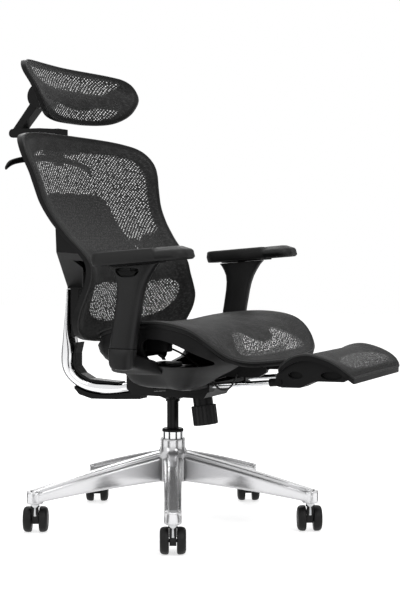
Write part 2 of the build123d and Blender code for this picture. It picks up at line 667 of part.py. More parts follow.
def pad_plane(middle, depth):
    """Plane parallel to the pad's top, a depth below it: local x is left, local y is rearward."""
    base = Plane(origin=(middle, -PAD_F, PAD_TOP_Z), x_dir=(1, 0, 0), z_dir=(0, sin(PAD_RISE), cos(PAD_RISE)))
    return base.offset(-depth)


POST_DROP = PAD_THICK + GAP + BASE_THICK + GAP
SWIVEL_BACK = PAD_F - POST_TOP_F


def post_seat(forward):
    """Height of the top of the arm post, which runs parallel to the pad."""
    return PAD_TOP_Z + (forward - PAD_F) * sin(PAD_RISE) / cos(PAD_RISE) - POST_DROP / cos(PAD_RISE)



for side, name in ((-1, "right"), (1, "left")):
    middle = side * ARM_L

    with BuildPart() as arm_bracket:
        with Locations((middle, -SOCKET_F, SOCKET_BASE)):
            Box(2 * SOCKET_HALF, POST_DEPTH, SOCKET_TOP - SOCKET_BASE, align=(Align.CENTER, Align.CENTER, Align.MIN))
        fillet(arm_bracket.edges().filter_by(Axis.Z), 7)
        with Locations((side * 228, -31, 412)):
            Box(84, 44, 34)
        with Locations((side * 262, -35, 397)):
            Box(56, 35, 34)
        add(bowl_body.part, mode=Mode.SUBTRACT)
        with BuildSketch(lean_plane(middle).offset(8)):
            Rectangle(2 * BLADE_HALF, BLADE_DEPTH)
        extrude(amount=-BLADE_ROOT - 8, mode=Mode.SUBTRACT)
        for screw_f in SCREWS_F:
            with BuildSketch(SIDE.offset(-side * SCREW_SEAT_L)):
                with Locations((screw_f, SCREW_Z)):
                    Circle(SCREW_R)
            extrude(amount=-side * SCREW_LENGTH, mode=Mode.SUBTRACT)
    save(arm_bracket, f"arm_bracket_{name}")

    with BuildPart() as arm_blade:
        with BuildSketch(lean_plane(middle)):
            Rectangle(2 * BLADE_HALF, BLADE_DEPTH)
        extrude(amount=-BLADE_ROOT)
        with BuildSketch(lean_plane(middle)):
            Rectangle(2 * BLADE_HALF, BLADE_DEPTH)
        extrude(amount=BLADE_HEIGHT)
    save(arm_blade, f"arm_blade_{name}")

    with BuildPart() as arm_post:
        extrude(outline(SIDE.offset(-middle), [(SOCKET_F - POST_DEPTH / 2, SOCKET_TOP + GAP),
                                               (SOCKET_F + POST_DEPTH / 2, SOCKET_TOP + GAP),
                                               (POST_TOP_F + POST_DEPTH / 2, POST_TOP),
                                               (POST_TOP_F + 64, post_seat(POST_TOP_F + 64)),
                                               (POST_TOP_F - 58, post_seat(POST_TOP_F - 58)),
                                               (POST_TOP_F - POST_DEPTH / 2, POST_TOP)]),
                amount=ARM_HALF, both=True)
        fillet(arm_post.edges().filter_by(lambda edge: 150 < edge.length < 170), 5)
        with BuildSketch(lean_plane(middle).offset(-8)):
            Rectangle(2 * BLADE_HALF + 2 * GAP, BLADE_DEPTH + 2 * GAP)
        extrude(amount=BLADE_HEIGHT + 10, mode=Mode.SUBTRACT)
        extrude(outline(SIDE.offset(-middle - side * (ARM_HALF + 1)), BUTTON_FACE),
                amount=side * (BUTTON_THICK + BUTTON_TRAVEL + GAP + 1), mode=Mode.SUBTRACT)
        with BuildSketch(pad_plane(middle, POST_DROP - 1)):
            with Locations((0, SWIVEL_BACK)):
                Circle(SWIVEL_R + RUNNING)
        extrude(amount=-(SWIVEL_DEPTH + GAP + 1), mode=Mode.SUBTRACT)
    save(arm_post, f"arm_post_{name}")

    with BuildPart() as arm_button:
        with BuildSketch(SIDE.offset(-middle - side * ARM_HALF)) as button_face:
            with BuildLine():
                Polyline(*BUTTON_FACE, close=True)
            make_face()
            offset(amount=-GAP, mode=Mode.REPLACE)
        extrude(amount=side * BUTTON_THICK)
    save(arm_button, f"arm_button_{name}")

    with BuildPart() as pad_base:
        with BuildSketch(pad_plane(side * BASE_L, PAD_THICK + GAP)):
            with Locations((0, RAIL_BACK)):
                RectangleRounded(56, 124, 12)
        extrude(amount=-BASE_THICK)
        with BuildSketch(pad_plane(side * PAD_L, PAD_THICK + GAP)):
            with Locations((0, RAIL_BACK)):
                Rectangle(2 * RAIL_HALF, RAIL_LENGTH)
        extrude(amount=RAIL_HEIGHT)
        with BuildSketch(pad_plane(middle, PAD_THICK + GAP + BASE_THICK / 2)):
            with Locations((0, SWIVEL_BACK)):
                Circle(SWIVEL_R)
        extrude(amount=-(BASE_THICK / 2 + GAP + SWIVEL_DEPTH))
    save(pad_base, f"pad_base_{name}")

    with BuildPart() as arm_pad:
        with BuildSketch(pad_plane(side * PAD_L, 0)):
            RectangleRounded(PAD_WIDTH, PAD_LENGTH, 32)
        extrude(amount=-PAD_THICK)
        pad_faces = arm_pad.faces().sort_by(Axis.Z)
        fillet(pad_faces[-1].edges() + pad_faces[0].edges(), 5)
        slot_length = RAIL_LENGTH + PAD_TRAVEL_OUT + PAD_TRAVEL_IN + 2 * GAP
        with BuildSketch(pad_plane(side * PAD_L, PAD_THICK + 1)):
            with Locations((0, RAIL_BACK + (PAD_TRAVEL_OUT - PAD_TRAVEL_IN) / 2)):
                Rectangle(2 * RAIL_HALF + 2 * GAP, slot_length)
        extrude(amount=RAIL_HEIGHT + 1, mode=Mode.SUBTRACT)
    save(arm_pad, f"arm_pad_{name}")

# ---------------------------------------------------------------- back arm and upright

with BuildPart() as back_arm:
    with BuildSketch(SIDE):
        with BuildLine():
            arm_outer = Spline(*ARM_OUTER)
            arm_inner = Spline(*ARM_INNER)
            Line(arm_outer @ 0, arm_inner @ 0)
            Line(arm_outer @ 1, arm_inner @ 1)
        make_face()
    extrude(amount=BACK_ARM_HALF, both=True)
    with BuildSketch(SIDE):
        with Locations((PIVOT_F, PIVOT_Z)):
            Circle(ARM_BOSS_R)
    extrude(amount=ARM_SLOT_HALF - GAP, both=True)
    with BuildSketch(SIDE):
        with Locations((PIVOT_F, PIVOT_Z)):
            Circle(PIVOT_R + RUNNING)
    extrude(amount=ARM_SLOT_HALF, both=True, mode=Mode.SUBTRACT)
    with Locations((0, -(UPRIGHT_REAR + TENON_FRONT) / 2, ARM_TOP - TENON_DEPTH)):
        Box(2 * TENON_HALF, TENON_FRONT - UPRIGHT_REAR, TENON_DEPTH + 1,
            align=(Align.CENTER, Align.CENTER, Align.MIN), mode=Mode.SUBTRACT)
save(back_arm, "back_arm")

# Trim of the back arm: a cover under it and a liner along its inside.
with BuildPart() as back_arm_trim:
    extrude(outline(SIDE, [(-80, 297), (-150, 293), (-215, 291), (-250, 300), (-264, 314), (-264, 332),
                           (-80, 332)]), amount=19, both=True)
    extrude(outline(SIDE, [(-140, 335), (-168, 336), (-221, 339), (-247, 352), (-262, 370), (-262, 401),
                           (-255, 428), (-262, 428), (-275, 400), (-275, 368), (-255, 340), (-222, 328),
                           (-168, 325), (-140, 325)]), amount=16, both=True)
    add(back_arm.part, mode=Mode.SUBTRACT)
save(back_arm_trim, "back_arm_trim")

with BuildPart() as back_upright:
    with Locations((0, -(UPRIGHT_REAR + UPRIGHT_FRONT) / 2, ARM_TOP)):
        Box(2 * UPRIGHT_HALF, UPRIGHT_FRONT - UPRIGHT_REAR, UPRIGHT_TOP - ARM_TOP,
            align=(Align.CENTER, Align.CENTER, Align.MIN))
    with Locations((0, -(UPRIGHT_REAR + TENON_FRONT) / 2, ARM_TOP - TENON_DEPTH)):
        Box(2 * TENON_HALF, TENON_FRONT - UPRIGHT_REAR, TENON_DEPTH,
            align=(Align.CENTER, Align.CENTER, Align.MIN))
save(back_upright, "back_upright")

# ---------------------------------------------------------------- back


def shell(line, curve, half_width, front, rear):
    """A curved panel: arcs across the chair at each height of a line, between two depths."""
    sections = []
    for height, middle_f in line:
        edge_f = middle_f + curve * half_width * half_width
        with BuildSketch(PLAN.offset(-height)) as section:
            with BuildLine():
                near = ThreePointArc((-half_width, edge_f + front), (0, middle_f + front),
                                     (half_width, edge_f + front))
                far = ThreePointArc((-half_width, edge_f + rear), (0, middle_f + rear),
                                    (half_width, edge_f + rear))
                Line(near @ 0, far @ 0)
                Line(near @ 1, far @ 1)
            make_face()
        sections.append(section.sketch)
    with BuildPart() as panel:
        loft(sections)
    return panel.part


BACK_HALF = 325.0
HEAD_HALF = 275.0
back_edge = smooth_outline(FRONT, BACK_OUTLINE)
back_window = smooth_outline(FRONT, inset(BACK_OUTLINE, FRAME_WIDTH))
back_front_space = shell(BACK_LINE, BACK_CURVE, BACK_HALF, 90, FRAME_REAR)
lumbar_front_space = shell(BACK_LINE, BACK_CURVE, BACK_HALF, 90, LUMBAR_REAR)

with BuildPart() as back_frame:
    add(shell(BACK_LINE, BACK_CURVE, BACK_HALF, FRAME_FRONT, FRAME_REAR))
    extrude(back_edge, amount=-400, mode=Mode.INTERSECT)
    extrude(back_window, amount=-400, mode=Mode.SUBTRACT)
save(back_frame, "back_frame")

with BuildPart() as back_mesh:
    add(shell(BACK_LINE, BACK_CURVE, BACK_HALF, MESH_HALF, -MESH_HALF))
    extrude(back_window, amount=-400, mode=Mode.INTERSECT)
save(back_mesh, "back_mesh")

with BuildPart() as lumbar_pad:
    add(shell(BACK_LINE, BACK_CURVE, BACK_HALF, LUMBAR_FRONT, LUMBAR_REAR))
    with BuildSketch(FRONT):
        with Locations((0, LUMBAR_Z)):
            RectangleRounded(2 * LUMBAR_HALF, LUMBAR_HEIGHT, 45)
    extrude(amount=-400, mode=Mode.INTERSECT)
save(lumbar_pad, "lumbar_pad")


def drawn_in(corners, amount):
    """The corners of a four-sided wing section, moved inside its rear, top and bottom walls."""
    (rear_low, low), (rear_high, high), (front_high, high_too), (front_low, low_too) = corners
    return [(rear_low + amount, low + amount), (rear_high + amount, high - amount),
            (front_high + amount, high_too - amount), (front_low + amount, low_too + amount)]


with BuildPart() as back_bracket:
    with Locations((0, -(SLEEVE_REAR + SLEEVE_FRONT) / 2, SLEEVE_BOTTOM)):
        Box(2 * SLEEVE_HALF, SLEEVE_FRONT - SLEEVE_REAR, SLEEVE_HEIGHT,
            align=(Align.CENTER, Align.CENTER, Align.MIN))
    # The wings are channels, open to the front.
    for side in (1, -1):
        loft([outline(SIDE.offset(-side * WING_L[0]), WING_START),
              outline(SIDE.offset(-side * WING_L[1]), WING_END)])
        loft([outline(SIDE.offset(-side * (WING_L[0] + WING_WALL)), drawn_in(WING_START, WING_WALL)),
              outline(SIDE.offset(-side * (WING_L[1] - WING_WALL)), drawn_in(WING_END, WING_WALL))],
             mode=Mode.SUBTRACT)
        with BuildSketch(FRONT.offset(100)):
            with Locations((side * WINDOW_L, WINDOW_Z)):
                SlotOverall(84, 17, rotation=side * WINDOW_TURN)
        extrude(amount=-500, mode=Mode.SUBTRACT)
    with Locations((0, -(SLEEVE_FRONT - 150) / 2, SLEEVE_BOTTOM + SLEEVE_HEIGHT - 22)):
        Box(40, -150 - SLEEVE_FRONT, 40)
    add(back_front_space, mode=Mode.SUBTRACT)
    with BuildPart(mode=Mode.SUBTRACT):
        add(lumbar_front_space)
        with Locations((0, 0, 680)):
            Box(2 * BRACKET_CLEAR, 1000, 600, mode=Mode.INTERSECT)
    with Locations((0, -(UPRIGHT_REAR + UPRIGHT_FRONT) / 2, SLEEVE_BOTTOM - 1)):
        Box(2 * UPRIGHT_HALF + 2 * GAP, UPRIGHT_FRONT - UPRIGHT_REAR + 2 * GAP, SLEEVE_HEIGHT + 2,
            align=(Align.CENTER, Align.CENTER, Align.MIN), mode=Mode.SUBTRACT)
save(back_bracket, "back_bracket")

with BuildPart() as headrest_mount:
    extrude(outline(SIDE, [(MOUNT_REAR, MOUNT_BOTTOM), (MOUNT_REAR, MOUNT_TOP), (-304, MOUNT_TOP), (-304, 935),
                           (-260, 935), (-260, MOUNT_BOTTOM)]), amount=MOUNT_HALF, both=True)
    add(back_front_space, mode=Mode.SUBTRACT)
    with Locations((0, -(STEM_REAR + STEM_FRONT) / 2, MOUNT_BOTTOM - 1)):
        Box(2 * STEM_HALF + 2 * GAP, STEM_FRONT - STEM_REAR + 2 * GAP, MOUNT_TOP - MOUNT_BOTTOM + 2,
            align=(Align.CENTER, Align.CENTER, Align.MIN), mode=Mode.SUBTRACT)
save(headrest_mount, "headrest_mount")

with BuildPart() as coat_hanger:
    with BuildLine() as hanger_line:
        Spline(*[(left, -forward, up) for left, forward, up in HANGER_LINE])
    with BuildSketch(Plane(origin=hanger_line.line @ 0, x_dir=(0, 1, 0), z_dir=hanger_line.line % 0)):
        RectangleRounded(14, 20, 5)
    sweep()
    with Locations((0, -HANGER_LINE[3][1], HANGER_LINE[3][2] - 4)):
        Box(60, 14, 24)
    with Locations((0, -HANGER_LINE[3][1], MOUNT_BOTTOM)):
        Box(700, 60, 60, align=(Align.CENTER, Align.CENTER, Align.MIN), mode=Mode.SUBTRACT)
save(coat_hanger, "coat_hanger")

# ---------------------------------------------------------------- headrest

with BuildPart() as headrest_stem:
    with Locations((0, -(STEM_REAR + STEM_FRONT) / 2, STEM_FOOT)):
        Box(2 * STEM_HALF, STEM_FRONT - STEM_REAR, MOUNT_TOP + 6 - STEM_FOOT,
            align=(Align.CENTER, Align.CENTER, Align.MIN))
    extrude(outline(SIDE, [(-346, MOUNT_TOP + GAP), (-346, 954), (-305, 954), (-305, MOUNT_TOP + GAP)]),
            amount=LINK_HALF, both=True)
    for side in (1, -1):
        with BuildSketch(SIDE.offset(side * (FORK_HALF + GAP))):
            with BuildLine():
                Polyline((-320, MOUNT_TOP + GAP), (-320, 954), (-360, 957), (LINK_F, LINK_Z + 11),
                         (LINK_F, LINK_Z - 11), (-356, 934), (-348, MOUNT_TOP + GAP), close=True)
            make_face()
            with Locations((LINK_F, LINK_Z)):
                Circle(11)
        extrude(amount=side * (LINK_HALF - FORK_HALF - GAP))
    with BuildSketch(SIDE):
        with Locations((LINK_F, LINK_Z)):
            Circle(PIN_R)
    extrude(amount=LINK_HALF, both=True)
save(headrest_stem, "headrest_stem")

with BuildPart() as headrest_link:
    with BuildSketch(SIDE):
        with BuildLine():
            Polyline((LINK_F - 7, LINK_Z + 6), (TILT_F - 10, TILT_Z + 6), (TILT_F + 10, TILT_Z - 6),
                     (LINK_F + 7, LINK_Z - 6), close=True)
        make_face()
        with Locations((LINK_F, LINK_Z)):
            Circle(10)
        with Locations((TILT_F, TILT_Z)):
            Circle(12)
        with Locations((LINK_F, LINK_Z), (TILT_F, TILT_Z)):
            Circle(PIN_R + RUNNING, mode=Mode.SUBTRACT)
    extrude(amount=FORK_HALF, both=True)
save(headrest_link, "headrest_link")

head_edge = smooth_outline(FRONT, HEAD_OUTLINE)
head_window = smooth_outline(FRONT, inset(HEAD_OUTLINE, HEAD_WIDTH))

with BuildPart() as headrest_frame:
    add(shell(HEAD_LINE, HEAD_CURVE, HEAD_HALF, HEAD_FRONT, HEAD_REAR))
    extrude(head_edge, amount=-500, mode=Mode.INTERSECT)
    extrude(head_window, amount=-500, mode=Mode.SUBTRACT)
    with BuildPart():
        add(shell(HEAD_LINE, HEAD_CURVE, HEAD_HALF, -MESH_HALF, HEAD_REAR))
        extrude(head_edge, amount=-500, mode=Mode.INTERSECT)
        with Locations((0, 0, RIB_Z)):
            Box(600, 1000, RIB_HEIGHT, mode=Mode.INTERSECT)
save(headrest_frame, "headrest_frame")

with BuildPart() as headrest_mesh:
    add(shell(HEAD_LINE, HEAD_CURVE, HEAD_HALF, MESH_HALF, -MESH_HALF))
    extrude(head_window, amount=-500, mode=Mode.INTERSECT)
save(headrest_mesh, "headrest_mesh")

with BuildPart() as headrest_hinge:
    for side in (1, -1):
        with BuildSketch(SIDE.offset(side * (FORK_HALF + GAP))):
            with Locations((TILT_F, TILT_Z)):
                Circle(TILT_BOSS_R)
        extrude(amount=side * (TILT_BOSS_HALF - FORK_HALF - GAP))
    with BuildSketch(SIDE):
        with Locations((TILT_F, TILT_Z)):
            Circle(PIN_R)
    extrude(amount=TILT_BOSS_HALF, both=True)
    extrude(outline(SIDE, [(-345, 1018), (-345, 1054), (-270, 1044), (-262, 1022)]), amount=TILT_BOSS_HALF,
            both=True)
    add(shell(HEAD_LINE, HEAD_CURVE, HEAD_HALF, 90, HEAD_REAR), mode=Mode.SUBTRACT)
save(headrest_hinge, "headrest_hinge")

# ---------------------------------------------------------------- footrest

ROD_LEAN = radians(FOOT_ROD_TILT)


def rod_plane(left, back):
    """Plane across a footrest rod, a distance behind its front end; its normal points forward."""
    front_end = Plane(origin=(left, -FOOT_ROD_F, FOOT_ROD_Z), x_dir=(1, 0, 0),
                      z_dir=(0, -cos(ROD_LEAN), sin(ROD_LEAN)))
    return front_end.offset(-back)


with BuildPart() as footrest_guides:
    for side in (1, -1):
        extrude(outline(SIDE.offset(-side * ROD_L),
                        [(GUIDE_REAR, 325), (GUIDE_REAR, BOWL_STATIONS[0][0] - GAP),
                         (GUIDE_NOSE_F, BOWL_STATIONS[0][0] - GAP),
                         (GUIDE_NOSE_F, 362), (GUIDE_FRONT, 366), (GUIDE_FRONT, 334)]),
                amount=GUIDE_HALF, both=True)
        extrude(outline(SIDE.offset(-side * ROD_L),
                        [(GUIDE_NOSE_F + 15, 356), (GUIDE_NOSE_F + 15, 366), (158, 392), (200, 414), (244, 436),
                         (300, 420), (288, 384), (272, 374), (190, 371), (158, 362)]), amount=6, both=True)
        with BuildSketch(rod_plane(side * ROD_L, 0)):
            Circle(FOOT_ROD_R + RUNNING)
        extrude(amount=-FOOT_ROD_LENGTH, mode=Mode.SUBTRACT)
    with BuildSketch(SIDE):
        with BuildLine():
            under_ring = Spline(*[(f, z - RING_THICK) for f, z in SEAT_LINE])
            Polyline(under_ring @ 0, (-190, 430), (-190, 600), (340, 600), (340, 380), under_ring @ 1)
        make_face()
    extrude(amount=330, both=True, mode=Mode.SUBTRACT)
save(footrest_guides, "footrest_guides")

with BuildPart() as footrest_rods:
    for side in (1, -1):
        with BuildSketch(rod_plane(side * ROD_L, 0)):
            Circle(FOOT_ROD_R)
        extrude(amount=-FOOT_ROD_LENGTH)
save(footrest_rods, "footrest_rods")

with BuildPart() as footrest_yoke:
    for side in (1, -1):
        with BuildSketch(rod_plane(side * ROD_L, 26)):
            Circle(FOOT_ROD_R + 3)
        extrude(amount=30)
        with BuildSketch(SIDE.offset(-side * ROD_L)):
            with BuildLine():
                Polyline((308, 357), (306, 370), (HINGE_F - 5, HINGE_Z + 4.5), (HINGE_F + 4, HINGE_Z - 8),
                         (326, 356), close=True)
            make_face()
            with Locations((HINGE_F, HINGE_Z)):
                Circle(9)
        extrude(amount=6, both=True)
        with BuildSketch(rod_plane(side * ROD_L, 0)):
            Circle(FOOT_ROD_R)
        extrude(amount=-40, mode=Mode.SUBTRACT)
    with BuildSketch(SIDE):
        with Locations((HINGE_F, HINGE_Z)):
            Circle(HINGE_R)
    extrude(amount=FOOT_HALF - 6, both=True)
save(footrest_yoke, "footrest_yoke")

with BuildSketch(PLAN) as foot_plan:
    with Locations((0, (FOOT_BACK + FOOT_FRONT) / 2)):
        RectangleRounded(2 * FOOT_HALF, FOOT_FRONT - FOOT_BACK, FOOT_ROUND)
with BuildSketch(PLAN) as foot_window:
    with Locations((0, (FOOT_BACK + FOOT_FRONT) / 2)):
        RectangleRounded(2 * (FOOT_HALF - FOOT_WIDTH), FOOT_FRONT - FOOT_BACK - 2 * FOOT_WIDTH, FOOT_ROUND - FOOT_WIDTH)

with BuildPart() as footrest_frame:
    extrude(band(FOOT_LINE, 0, -FOOT_THICK), amount=200, both=True)
    extrude(foot_plan.sketch, amount=-600, mode=Mode.INTERSECT)
    extrude(foot_window.sketch, amount=-600, mode=Mode.SUBTRACT)
    for side in (1, -1):
        with BuildSketch(SIDE.offset(-side * FOOT_PLATE_L)):
            with BuildLine():
                Polyline(*FOOT_PLATE, close=True)
            make_face()
            with Locations((384, 388)):
                Ellipse(17, 8, mode=Mode.SUBTRACT)
            with Locations((466, 390)):
                Ellipse(24, 9, mode=Mode.SUBTRACT)
            with Locations((HINGE_F, HINGE_Z)):
                Circle(11)
                Circle(HINGE_R + RUNNING, mode=Mode.SUBTRACT)
        extrude(amount=3.5, both=True)
        extrude(outline(SIDE.offset(-side * (FOOT_PLATE_L + 118) / 2),
                        [(352, 360), (350, 366), (392, 368), (424, 382), (426, 376), (394, 361)]),
                amount=(FOOT_PLATE_L - 118) / 2, both=True)
save(footrest_frame, "footrest_frame")

with BuildPart() as footrest_mesh:
    extrude(band(FOOT_LINE, -2, -2 - MESH_THICK), amount=200, both=True)
    extrude(foot_window.sketch, amount=-600, mode=Mode.INTERSECT)
save(footrest_mesh, "footrest_mesh")

# The control cable runs from the control box to the latch on the right-hand footrest guide.
with BuildPart() as control_cable:
    with BuildLine() as cable_line:
        Spline(*[(left, -forward, up) for left, forward, up in CABLE_LINE],
               tangents=[(-1, 0, 0), (1, 0, 0)])
    with BuildSketch(Plane(origin=cable_line.line @ 0, z_dir=cable_line.line % 0)):
        Circle(CABLE_R)
    sweep()
save(control_cable, "control_cable")
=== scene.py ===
import math

import bmesh
import bpy
import numpy as np
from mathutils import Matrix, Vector


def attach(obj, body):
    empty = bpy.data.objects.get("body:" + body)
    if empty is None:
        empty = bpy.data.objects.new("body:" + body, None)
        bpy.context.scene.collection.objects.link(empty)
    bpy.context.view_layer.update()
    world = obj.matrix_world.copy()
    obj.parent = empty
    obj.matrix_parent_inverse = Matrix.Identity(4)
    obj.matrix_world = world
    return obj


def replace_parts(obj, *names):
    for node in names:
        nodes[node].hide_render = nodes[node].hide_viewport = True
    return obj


# The reclining office chair with footrest, dressed. Mesh panels, armrest pads, bindings, the cable and
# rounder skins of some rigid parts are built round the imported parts, and every part gets its material.
# Shapes are laid out in millimetres left of, forward of and above the foot of the lift column, as in
# the part's source, and place() turns them into the metres of the frame.

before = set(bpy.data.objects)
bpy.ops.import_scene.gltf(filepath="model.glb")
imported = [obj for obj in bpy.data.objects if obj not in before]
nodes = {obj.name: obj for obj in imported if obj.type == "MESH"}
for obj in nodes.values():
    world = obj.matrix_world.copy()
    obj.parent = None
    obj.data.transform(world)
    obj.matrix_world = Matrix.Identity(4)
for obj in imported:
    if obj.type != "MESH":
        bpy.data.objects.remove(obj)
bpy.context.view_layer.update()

MM = 0.001
COLUMN_X = -25.7
COLUMN_Y = 30.5
HANDS = ((-1, "right"), (1, "left"))
# Edges that turn further than this stay crisp.
CRISP = math.radians(38)

# ------------ the lines of the panels

# Height at each forward place, or forward place at each height, on the middle line. The curve is the
# forward sweep of a standing panel's sides. Outlines give half the edge, from the middle line round.
SEAT_LINE = [
    (-152, 446), (-105, 461), (-60, 476), (0, 491), (60, 499), (110, 501), (160, 496), (205, 481), (240, 452),
    (265, 427), (303, 408)
]
SEAT_OUTLINE = [
    (0, -101), (60, -99.5), (100, -96.5), (140, -92.5), (170, -88.5), (200, -83), (222, -72), (239, -46),
    (246, -10), (254, 48), (276, 110), (293, 170), (288, 225), (238, 268), (130, 294), (0, 303)
]
BACK_LINE = [
    (436, -126), (446, -130), (462, -135.5), (480, -138), (500, -134), (520, -128), (540, -121), (560, -116),
    (580, -112.5), (600, -112), (620, -114), (640, -125), (660, -142), (680, -162), (700, -179), (720, -195),
    (740, -208), (760, -219), (780, -227), (800, -233), (820, -239), (840, -245.5), (860, -254), (880, -263),
    (900, -273), (920, -283.5), (940, -295)
]
BACK_CURVE = 0.00046
BACK_OUTLINE = [
    (0, 936), (150, 933), (240, 924), (290, 904), (304, 878), (296, 838), (284, 790), (273, 740), (262, 700),
    (249, 658), (242, 628), (246, 598), (262, 566), (278, 538), (283, 515), (276, 488), (254, 464),
    (210, 451), (120, 444), (0, 442)
]
HEAD_LINE = [
    (956, -283), (966, -279), (976, -273), (986, -269), (1000, -267), (1014, -269), (1028, -273),
    (1044, -280), (1060, -290), (1076, -298.5), (1092, -304.5), (1108, -310)
]
HEAD_CURVE = 0.00075
HEAD_OUTLINE = [
    (0, 1103), (120, 1102), (200, 1098), (236, 1090), (252, 1076), (254, 1060), (247, 1044), (236, 1030),
    (222, 1016), (205, 1002), (185, 990), (155, 978), (110, 970), (60, 966.5), (0, 966)
]
FOOT_LINE = [
    (338, 388), (343, 398), (352, 409), (368, 422), (390, 432), (412, 435), (440, 431), (465, 423),
    (488, 411), (505, 396), (514, 384)
]
FOOT_HALF = 176.0
FOOT_BACK = 340.0
FOOT_FRONT = 512.0
FOOT_ROUND = 26.0

# Where the knit opens into holes: left, and forward or up along the panel.
BACK_OPEN = [
    [(-255, 862), (-236, 880), (-190, 889), (-80, 893), (80, 896), (190, 894), (240, 884), (258, 858),
     (248, 812), (234, 752), (222, 700), (202, 664), (176, 652), (0, 652), (-176, 652), (-202, 664),
     (-222, 700), (-234, 752), (-248, 812)],
    [(-216, 566), (-200, 579), (-150, 584), (-60, 576), (60, 576), (150, 584), (200, 579), (216, 560),
     (214, 528), (186, 506), (130, 492), (0, 484), (-130, 492), (-186, 506), (-214, 528)],
]
HEAD_OPEN = [
    [(-205, 1090), (-100, 1094), (100, 1094), (205, 1090), (208, 1078), (160, 1058), (85, 1034), (0, 1022),
     (-85, 1034), (-160, 1058), (-208, 1078)],
    [(-186, 1036), (-120, 1018), (-60, 1003), (0, 997), (60, 1003), (120, 1018), (186, 1036), (176, 1014),
     (142, 992), (90, 978), (0, 973), (-90, 978), (-142, 992), (-176, 1014)],
]
SEAT_OPEN = [
    [(-190, 258), (-168, 240), (-128, 216), (-100, 208), (-72, 218), (-60, 233), (-26, 243), (26, 243),
     (60, 233), (72, 218), (100, 208), (128, 216), (168, 240), (190, 258), (176, 267), (130, 272), (60, 273),
     (-60, 273), (-130, 272), (-176, 267)],
]
FOOT_OPEN = [
    [(-140, 492), (-128, 466), (-60, 452), (60, 452), (128, 466), (140, 492), (120, 500), (0, 502),
     (-120, 500)],
]

# ------------ curves and outlines


class Line:
    """A natural cubic spline through pairs of a position and a value."""

    def __init__(self, points):
        t, y = np.array(list(points), float).T
        h = np.diff(t)
        system = np.eye(len(t))
        right = np.zeros(len(t))
        for i in range(1, len(t) - 1):
            system[i, i - 1:i + 2] = h[i - 1], 2 * (h[i - 1] + h[i]), h[i]
            right[i] = 6 * ((y[i + 1] - y[i]) / h[i] - (y[i] - y[i - 1]) / h[i - 1])
        self.t, self.y, self.h = t, y, h
        self.m = np.linalg.solve(system, right)

    def __call__(self, x):
        x = np.clip(x, self.t[0], self.t[-1])
        i = np.clip(np.searchsorted(self.t, x) - 1, 0, len(self.t) - 2)
        a = (self.t[i + 1] - x) / self.h[i]
        b = 1 - a
        bend = ((a**3 - a) * self.m[i] + (b**3 - b) * self.m[i + 1]) * self.h[i] ** 2 / 6
        return a * self.y[i] + b * self.y[i + 1] + bend


def run_length(points):
    """The length along a row of points from the first to each."""
    steps = np.linalg.norm(np.diff(points, axis=0), axis=1)
    return np.concatenate([[0], np.cumsum(steps)])


def along_line(line):
    """The length along a line from its start, as a function of the position."""
    at = np.linspace(line.t[0], line.t[-1], 500)
    s = run_length(np.stack([at, line(at)], 1))
    return lambda x: np.interp(x, at, s)


def drawn_line(points, count):
    """Evenly spread points of a smooth line through the given ones."""
    points = np.array(points, float)
    s = run_length(points)
    at = np.linspace(0, s[-1], count)
    return np.stack([Line(zip(s, points[:, i]))(at) for i in (0, 1)], 1)


def even_loop(points, count):
    """Points spaced evenly round a closed outline."""
    closed = np.vstack([points, points[:1]])
    s = run_length(closed)
    at = np.linspace(0, s[-1], count, endpoint=False)
    return np.stack([np.interp(at, s, closed[:, i]) for i in range(closed.shape[1])], 1)


def smooth_loop(points):
    """A closed outline with its corners rounded by two passes of corner cutting."""
    loop = np.array(points, float)
    for _ in range(2):
        after = np.roll(loop, -1, 0)
        loop = np.stack([0.75 * loop + 0.25 * after, 0.25 * loop + 0.75 * after], 1).reshape(-1, 2)
    return loop


def outline_loop(half, count=240, level=12):
    """A closed outline, alike on both sides and level in the middle, from the half that starts there."""
    points = np.array([(level, half[0][1])] + half[1:-1] + [(level, half[-1][1])], float)
    side = drawn_line(points, 900)
    return even_loop(np.concatenate([side, side[::-1] * (-1, 1)]), count)


def rounded_loop(half_width, low, high, radius, count=240):
    """A rectangle with round corners, as a closed outline."""
    corners = []
    for x, y, start in ((1, 1, 0), (-1, 1, 90), (-1, -1, 180), (1, -1, 270)):
        middle = (x * (half_width - radius), (high - radius) if y > 0 else (low + radius))
        for step in range(13):
            angle = math.radians(start + 7.5 * step)
            corners.append((middle[0] + radius * math.cos(angle), middle[1] + radius * math.sin(angle)))
    return even_loop(np.array(corners), count)


def squared_circle(sides, power):
    """Points of a rounded square of half width 1."""
    angle = np.linspace(0, 2 * math.pi, sides, endpoint=False)
    c, d = np.cos(angle), np.sin(angle)
    return np.sign(c) * np.abs(c) ** (2 / power), np.sign(d) * np.abs(d) ** (2 / power)


def inside_distance(points, loop):
    """How far each point lies inside a closed outline; it is negative outside."""
    best = np.full(len(points), 1e9)
    inside = np.zeros(len(points), bool)
    for p, q in zip(loop, np.roll(loop, -1, 0)):
        d = q - p
        t = np.clip(((points - p) @ d) / max(d @ d, 1e-9), 0, 1)
        best = np.minimum(best, np.linalg.norm(points - p - t[:, None] * d, axis=1))
        crosses = (p[1] > points[:, 1]) != (q[1] > points[:, 1])
        rise = d[1] if abs(d[1]) > 1e-9 else 1e-9
        inside ^= crosses & (points[:, 0] < p[0] + (points[:, 1] - p[1]) * d[0] / rise)
    return np.where(inside, best, -best)


def inward_of(loop):
    """Unit steps from an outline towards its inside."""
    along = np.roll(loop, -1, 0) - np.roll(loop, 1, 0)
    along /= np.linalg.norm(along, axis=1)[:, None]
    normal = np.stack([-along[:, 1], along[:, 0]], 1)
    towards = loop.mean(0) - loop
    return normal * np.sign((normal * towards).sum(1).mean())


